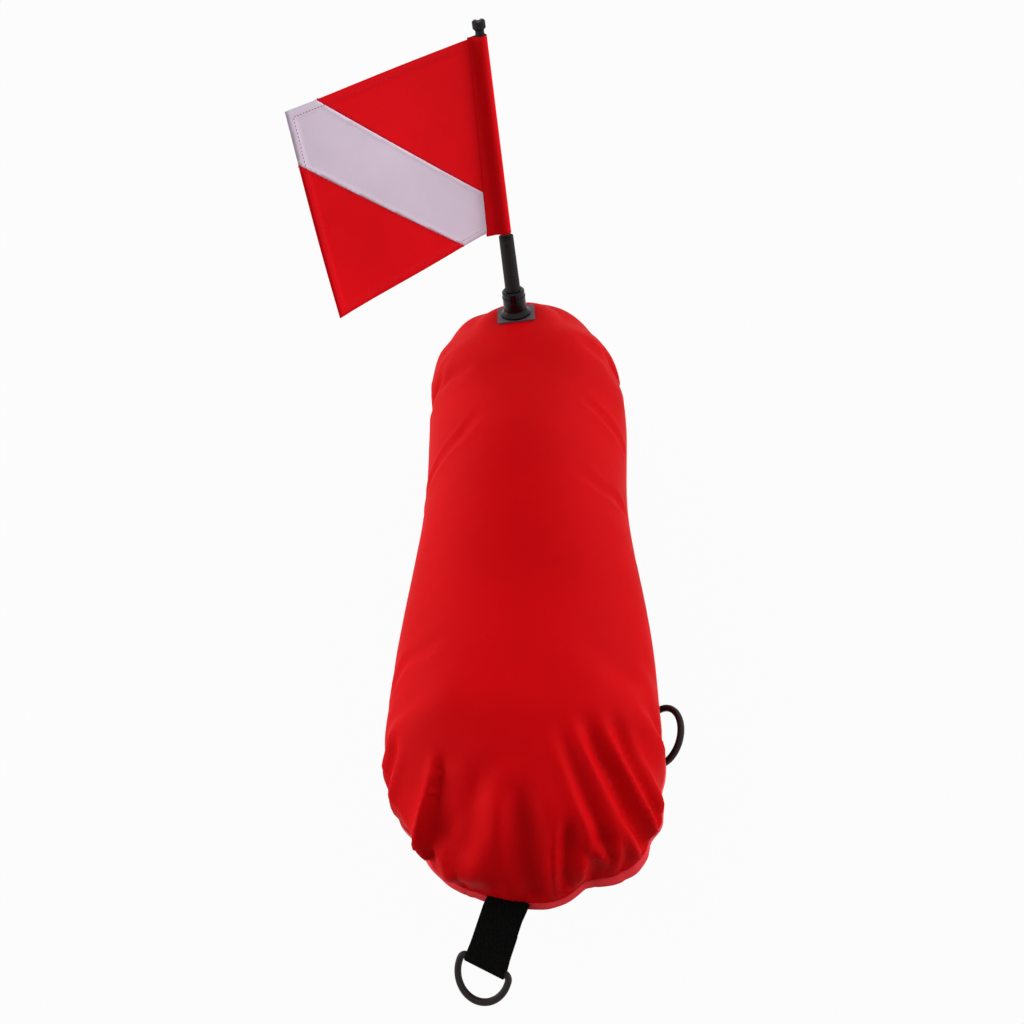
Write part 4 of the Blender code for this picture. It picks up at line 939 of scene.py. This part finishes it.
def cut(bm, place, normal, clear=False):
    bmesh.ops.bisect_plane(bm, geom=bm.verts[:] + bm.edges[:] + bm.faces[:], dist=TINY,
                           plane_co=place, plane_no=normal, clear_outer=clear)


def sheet_faces(bm, rows):
    for a, b in zip(rows, rows[1:]):
        for i in range(len(a) - 1):
            bm.faces.new((a[i], a[i + 1], b[i + 1], b[i]))


def set_weights(obj, weights):
    """How thick the cloth is at each point, as a share of its full thickness."""
    group = obj.vertex_groups.new(name="thick")
    for i, weight in enumerate(weights):
        group.add([i], weight, "REPLACE")


def field_piece(name, node, mat, slot, *cuts):
    """One field of the flag: a fine grid, cut at the seams and the hems, then hung."""
    bm = bmesh.new()
    across = [TUCK + (FLAG_FLY - TUCK) * c / FIELD_COLUMNS for c in range(FIELD_COLUMNS + 1)]
    heights = [FLAG_HOIST * r / FIELD_ROWS for r in range(FIELD_ROWS + 1)]
    sheet_faces(bm, [[bm.verts.new((x, 0.0, z)) for x in across] for z in heights])
    under = 0.0 if node == "flag_stripe" else UNDER
    seams = []
    for first, second, keep in cuts:
        run = (second - first).normalized()
        inward = Vector((-run.z, 0.0, run.x)) * keep
        seams.append((first, inward))
        cut(bm, first - inward * under, -inward, clear=True)
        cut(bm, first + inward * SEAM, -inward)
        cut(bm, first + inward * (SEAM + SEAM_SOFT), -inward)
    cut(bm, Vector((FLAG_FLY - HEM, 0, 0)), Vector((1, 0, 0)))
    cut(bm, Vector((0, 0, HEM)), Vector((0, 0, 1)))
    cut(bm, Vector((0, 0, FLAG_HOIST - HEM)), Vector((0, 0, 1)))
    bmesh.ops.remove_doubles(bm, verts=bm.verts, dist=FIELD_MERGE)
    weights = []
    for v in bm.verts:
        edge = min(FLAG_FLY - v.co.x, v.co.z, FLAG_HOIST - v.co.z)
        seam = min([1.0] + [(v.co - first).dot(inward) for first, inward in seams])
        sewn = 1.0 - float(step((v.co.x - tab_end(v.co.z) - SEWN_FROM) / SEWN_FADE))
        thick = max(1.0 if edge < HEM + TINY else 0.0, ONE_LAYER + (1.0 - ONE_LAYER) * sewn)
        if seam < SEAM + SEAM_NEAR and not under:
            thick = max(thick, SEAM_LAYERS)
        if seam < -TINY:
            thick *= UNDER_SHARE
        weights.append(thick)
        v.co = flag_place(v.co.x, v.co.z)
    obj = from_bmesh(name, bm, (mat,))
    set_weights(obj, weights)
    obj.data.transform(flag_matrix)
    thicken(obj, FLAG_THICK, 0.0, "thick")
    stands_for(obj, slot, "flag", node)


top_out = Vector((FLAG_FLY * TOP_OUT_SHARE, 0.0, FLAG_HOIST))
top_in = Vector((0.0, 0.0, FLAG_HOIST * TOP_IN_SHARE))
low_out = Vector((FLAG_FLY, 0.0, FLAG_HOIST * LOW_OUT_SHARE))
low_in = Vector((FLAG_FLY * LOW_IN_SHARE, 0.0, 0.0))
field_piece("flag_field_upper", "flag_upper_field", flag_red, "flag_red", (top_in, top_out, 1.0))
field_piece("flag_field_stripe", "flag_stripe", flag_white, "flag_white",
            (top_in, top_out, -1.0), (low_in, low_out, 1.0))
field_piece("flag_field_lower", "flag_lower_field", flag_red, "flag_red", (low_in, low_out, -1.0))

# The sleeve: a loop round the upper tube, and a tab on each face of the flag
TUBE_RADIUS, SLEEVE_THICK, SLEEVE_LAY, SLEEVE_GAP, TAB_GAP = 0.0058, 0.0006, 0.0004, 0.0003, 0.0001
LOOP_STEPS, SLEEVE_ROWS, LOOP_LEAN = 40, 40, radians(38.0)
TAB_START, TAB_STEPS, EDGE_OFF, EDGE_THIN = 0.0085, 9, 0.00078, 0.35
TAB_LIFT, THIN_POINTS = 1.15, 3
tube = TUBE_RADIUS + SLEEVE_LAY + SLEEVE_GAP
beside = SLEEVE_THICK + SLEEVE_GAP + TAB_GAP
lean = math.acos(beside / tube) - LOOP_LEAN
turns = [lean + (WHOLE - 2 * lean) * i / LOOP_STEPS - TAB_TURN for i in range(LOOP_STEPS + 1)]
around = [(tube * math.cos(t), tube * math.sin(t)) for t in turns]


def sleeve_line(up):
    """The sleeve's outline at one height: a flat tab on each face of the flag, and the loop."""
    tabs = []
    for hand in (1.0, -1.0):
        tab = []
        for i in range(TAB_STEPS + 1):
            share = i / TAB_STEPS
            x = TAB_START + (tab_end(up) - TAB_START) * share
            off = beside * TAB_LIFT * (1.0 - share) + EDGE_OFF * share
            tab.append((x, ripple(x, up) + hand * off))
        tabs.append(tab)
    return eased(tabs[0][::-1] + around + tabs[1])


bm = bmesh.new()
heights = [FLAG_HOIST * k / SLEEVE_ROWS for k in range(SLEEVE_ROWS + 1)]
rows = [[bm.verts.new((x, y, z)) for x, y in sleeve_line(z)] for z in heights]
sheet_faces(bm, rows)
last = len(rows[0]) - 1
from_edge = [min(i, last - i) / THIN_POINTS for i in range(last + 1)] * len(rows)
sleeve = from_bmesh("flag_sleeve_cloth", bm, (flag_red,))
sleeve.data.transform(flag_matrix)
set_weights(sleeve, [min(EDGE_THIN + (1.0 - EDGE_THIN) * share, 1.0) for share in from_edge])
thicken(sleeve, SLEEVE_THICK, 0.0, "thick")
stands_for(sleeve, "flag_red", "flag", "flag_sleeve")


# Stitches: the hem along the foot, fly and head, and both edges of the stripe
STITCH_PITCH, STITCH_LENGTH, STITCH_START, STITCH_THICK = 0.0032, 0.0022, 0.15, 0.00035
STITCH_OFF, STITCH_IN, STITCH_BESIDE = 0.00062, 0.0008, 0.0016
STITCH_CROWN, STITCH_BACK, STITCH_BODY = 0.8, 0.3, 0.3
TAB_CLEAR, STRIPE_CLEAR = 0.003, 0.002


def stitch_row(bm, start, end, off):
    """Small rounded dashes along a straight row of the flag, on one face of it."""
    count = int((end - start).length / STITCH_PITCH)
    for i in range(count):
        a = start.lerp(end, (i + STITCH_START) / count)
        b = start.lerp(end, (i + STITCH_START + STITCH_LENGTH / STITCH_PITCH) / count)
        pa, pb = flag_place(a.x, a.y, off), flag_place(b.x, b.y, off)
        side = (pb - pa).normalized().cross(Vector((0, 1, 0))).normalized() * STITCH_THICK
        lift = Vector((0, math.copysign(STITCH_THICK * STITCH_CROWN, off), 0))
        mid, half = 0.5 * (pa + pb), STITCH_BODY * (pb - pa)
        rim = [pa, mid + side - half, mid + side + half, pb, mid - side + half, mid - side - half]
        ring = [bm.verts.new(point) for point in rim]
        top, low = bm.verts.new(mid + lift), bm.verts.new(mid - lift * STITCH_BACK)
        for here, after in zip(ring, ring[1:] + ring[:1]):
            bm.faces.new((here, after, top))
            bm.faces.new((after, here, low))


bm = bmesh.new()
inset = HEM - STITCH_IN
fly_end, top_end = FLAG_FLY - inset, FLAG_HOIST - inset
corners = [Vector((TAB_LOW + TAB_CLEAR, inset)), Vector((fly_end, inset)),
           Vector((fly_end, top_end)), Vector((TAB_HIGH + TAB_CLEAR, top_end))]
runs = list(zip(corners, corners[1:]))
for first, second, way in ((top_in, top_out, 1.0), (low_in, low_out, -1.0)):
    run = (second - first).normalized()
    shift = Vector((-run.z, run.x)) * STITCH_BESIDE * way
    a, b = Vector((first.x, first.z)), Vector((second.x, second.z))
    if a.x < TAB_LOW:
        a = a.lerp(b, (TAB_LOW + STRIPE_CLEAR) / b.x)
    runs.append((a + shift, b + shift))
for a, b in runs:
    for off in (STITCH_OFF, -STITCH_OFF):
        stitch_row(bm, a, b, off)
stitches = from_bmesh("flag_stitches", bm, (thread,))
stitches.data.transform(flag_matrix)
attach(stitches, "flag")


# Carried-over pieces
CAD_SHARP = radians(32.0)
for mat, nodes in ((plate_grey, ("mast_plate",)), (rubber, ("valve_seal",)),
                   (socket_black, ("mast_socket", "socket_collar", "valve_body", "valve_mouthpiece")),
                   (mast_black, ("lower_mast_tube", "mast_foot", "mast_bush", "mast_pin",
                                 "upper_mast_tube", "mast_tip")), (patch_cloth, ("valve_patch",))):
    for node in nodes:
        data = cad[node].data
        data.materials.clear()
        data.materials.append(mat)
        data.shade_smooth()
        data.set_sharp_from_angle(angle=CAD_SHARP)

# Camera, light and floor
CAMERA_RIGHT = Vector((0.99224, 0.01774, -0.12305))
CAMERA_UP = Vector((0.06814, 0.75025, 0.65764))
CAMERA_PLACE = Vector((0.0936, -0.63166, 0.7701 + AXIS_HEIGHT))
SENSOR, LENS, CLIP = 36.0, 31.555, (0.01, 50.0)
ALL_ROUND, SIDE_WALLS, BACK_WALL, TOP_LOSS, CORNERS = 0.3, 2.2, 0.68, -0.14, 0.2
LAMPS = (("left_box", -1.6, 8.5), ("right_box", 1.6, 6.0))
LAMP_Y, LAMP_Z, LAMP_SIZE, LAMP_AIM = 0.1, 0.55, (1.4, 0.7), Vector((0.0, 0.0, 0.1))
FLOOR_HALF, FLOOR_LOW, FLOOR_WHITE, FLOOR_GREY = 6.0, -0.0002, 0.96, 0.36
WHITE = (1, 1, 1, 1)

camera_data = bpy.data.cameras.new("camera")
camera = add_object("camera", camera_data)
scene.camera = camera
camera.matrix_world = frame_matrix(CAMERA_PLACE, CAMERA_RIGHT, CAMERA_RIGHT.cross(CAMERA_UP))
camera_data.sensor_width = SENSOR
camera_data.lens = LENS
camera_data.clip_start, camera_data.clip_end = CLIP

scene.world = world = bpy.data.worlds.new("studio")
world.use_nodes = True
tree = world.node_tree
background = tree.nodes["Background"]


def math_node(tree, operation, *values):
    node = tree.nodes.new("ShaderNodeMath")
    node.operation = operation
    for slot, value in zip(node.inputs, values):
        if isinstance(value, float):
            slot.default_value = value
        else:
            tree.links.new(value, slot)
    return node.outputs["Value"]


def seen_directly(tree):
    """1 for what the camera sees, also in gloss and through glass, and 0 for light."""
    rays = tree.nodes.new("ShaderNodeLightPath")
    total = rays.outputs["Is Camera Ray"]
    for name in ("Is Glossy Ray", "Is Transmission Ray"):
        total = math_node(tree, "MAXIMUM", total, rays.outputs[name])
    return total


def mix_shaders(tree, share, first, second, out):
    """One shader for light and the other, by share, for what is seen."""
    mix = tree.nodes.new("ShaderNodeMixShader")
    for slot, source in zip(mix.inputs, (share, first, second)):
        tree.links.new(source, slot)
    tree.links.new(mix.outputs["Shader"], out.inputs["Surface"])


# a light tent: bright walls left, right and behind, dimmer overhead and in front
way = tree.nodes.new("ShaderNodeTexCoord")
split = tree.nodes.new("ShaderNodeSeparateXYZ")
tree.links.new(way.outputs["Generated"], split.inputs["Vector"])
to_side, to_back, to_top = split.outputs
sides = math_node(tree, "MULTIPLY", to_side, to_side)
corner = math_node(tree, "MULTIPLY", to_side, to_back)
level = ALL_ROUND
for part, share in ((sides, SIDE_WALLS), (corner, CORNERS), (to_back, BACK_WALL), (to_top, TOP_LOSS)):
    level = math_node(tree, "MULTIPLY_ADD", part, share, level)
tree.links.new(math_node(tree, "MAXIMUM", level, 0.0), background.inputs["Strength"])
white = tree.nodes.new("ShaderNodeBackground")
for node in (background, white):
    node.inputs["Color"].default_value = WHITE
mix_shaders(tree, seen_directly(tree), background.outputs["Background"], white.outputs["Background"],
            tree.nodes["World Output"])

for name, side, energy in LAMPS:
    data = bpy.data.lights.new(name, "AREA")
    data.shape = "RECTANGLE"
    data.size, data.size_y = LAMP_SIZE
    data.energy = energy
    lamp = add_object(name, data)
    lamp.location = (side, LAMP_Y, LAMP_Z)
    lamp.rotation_euler = (LAMP_AIM - lamp.location).to_track_quat("-Z", "Y").to_euler()

bm = bmesh.new()
bmesh.ops.create_grid(bm, x_segments=1, y_segments=1, size=FLOOR_HALF)
floor = from_bmesh("floor", bm)
n = Nodes("white_floor")
n.put("Base Color", (FLOOR_GREY, FLOOR_GREY, FLOOR_GREY, 1))
n.put("Roughness", 0.9)
n.put("Specular IOR Level", 0.1)
glow = n.add("ShaderNodeEmission", Color=WHITE, Strength=1.0)
share = math_node(n.tree, "MULTIPLY", seen_directly(n.tree), FLOOR_WHITE)
mix_shaders(n.tree, share, n.shader.outputs["BSDF"], glow.outputs["Emission"], n.out)
floor.data.materials.append(n.mat)
floor.location.z = FLOOR_LOW

scene.view_settings.view_transform = "Standard"
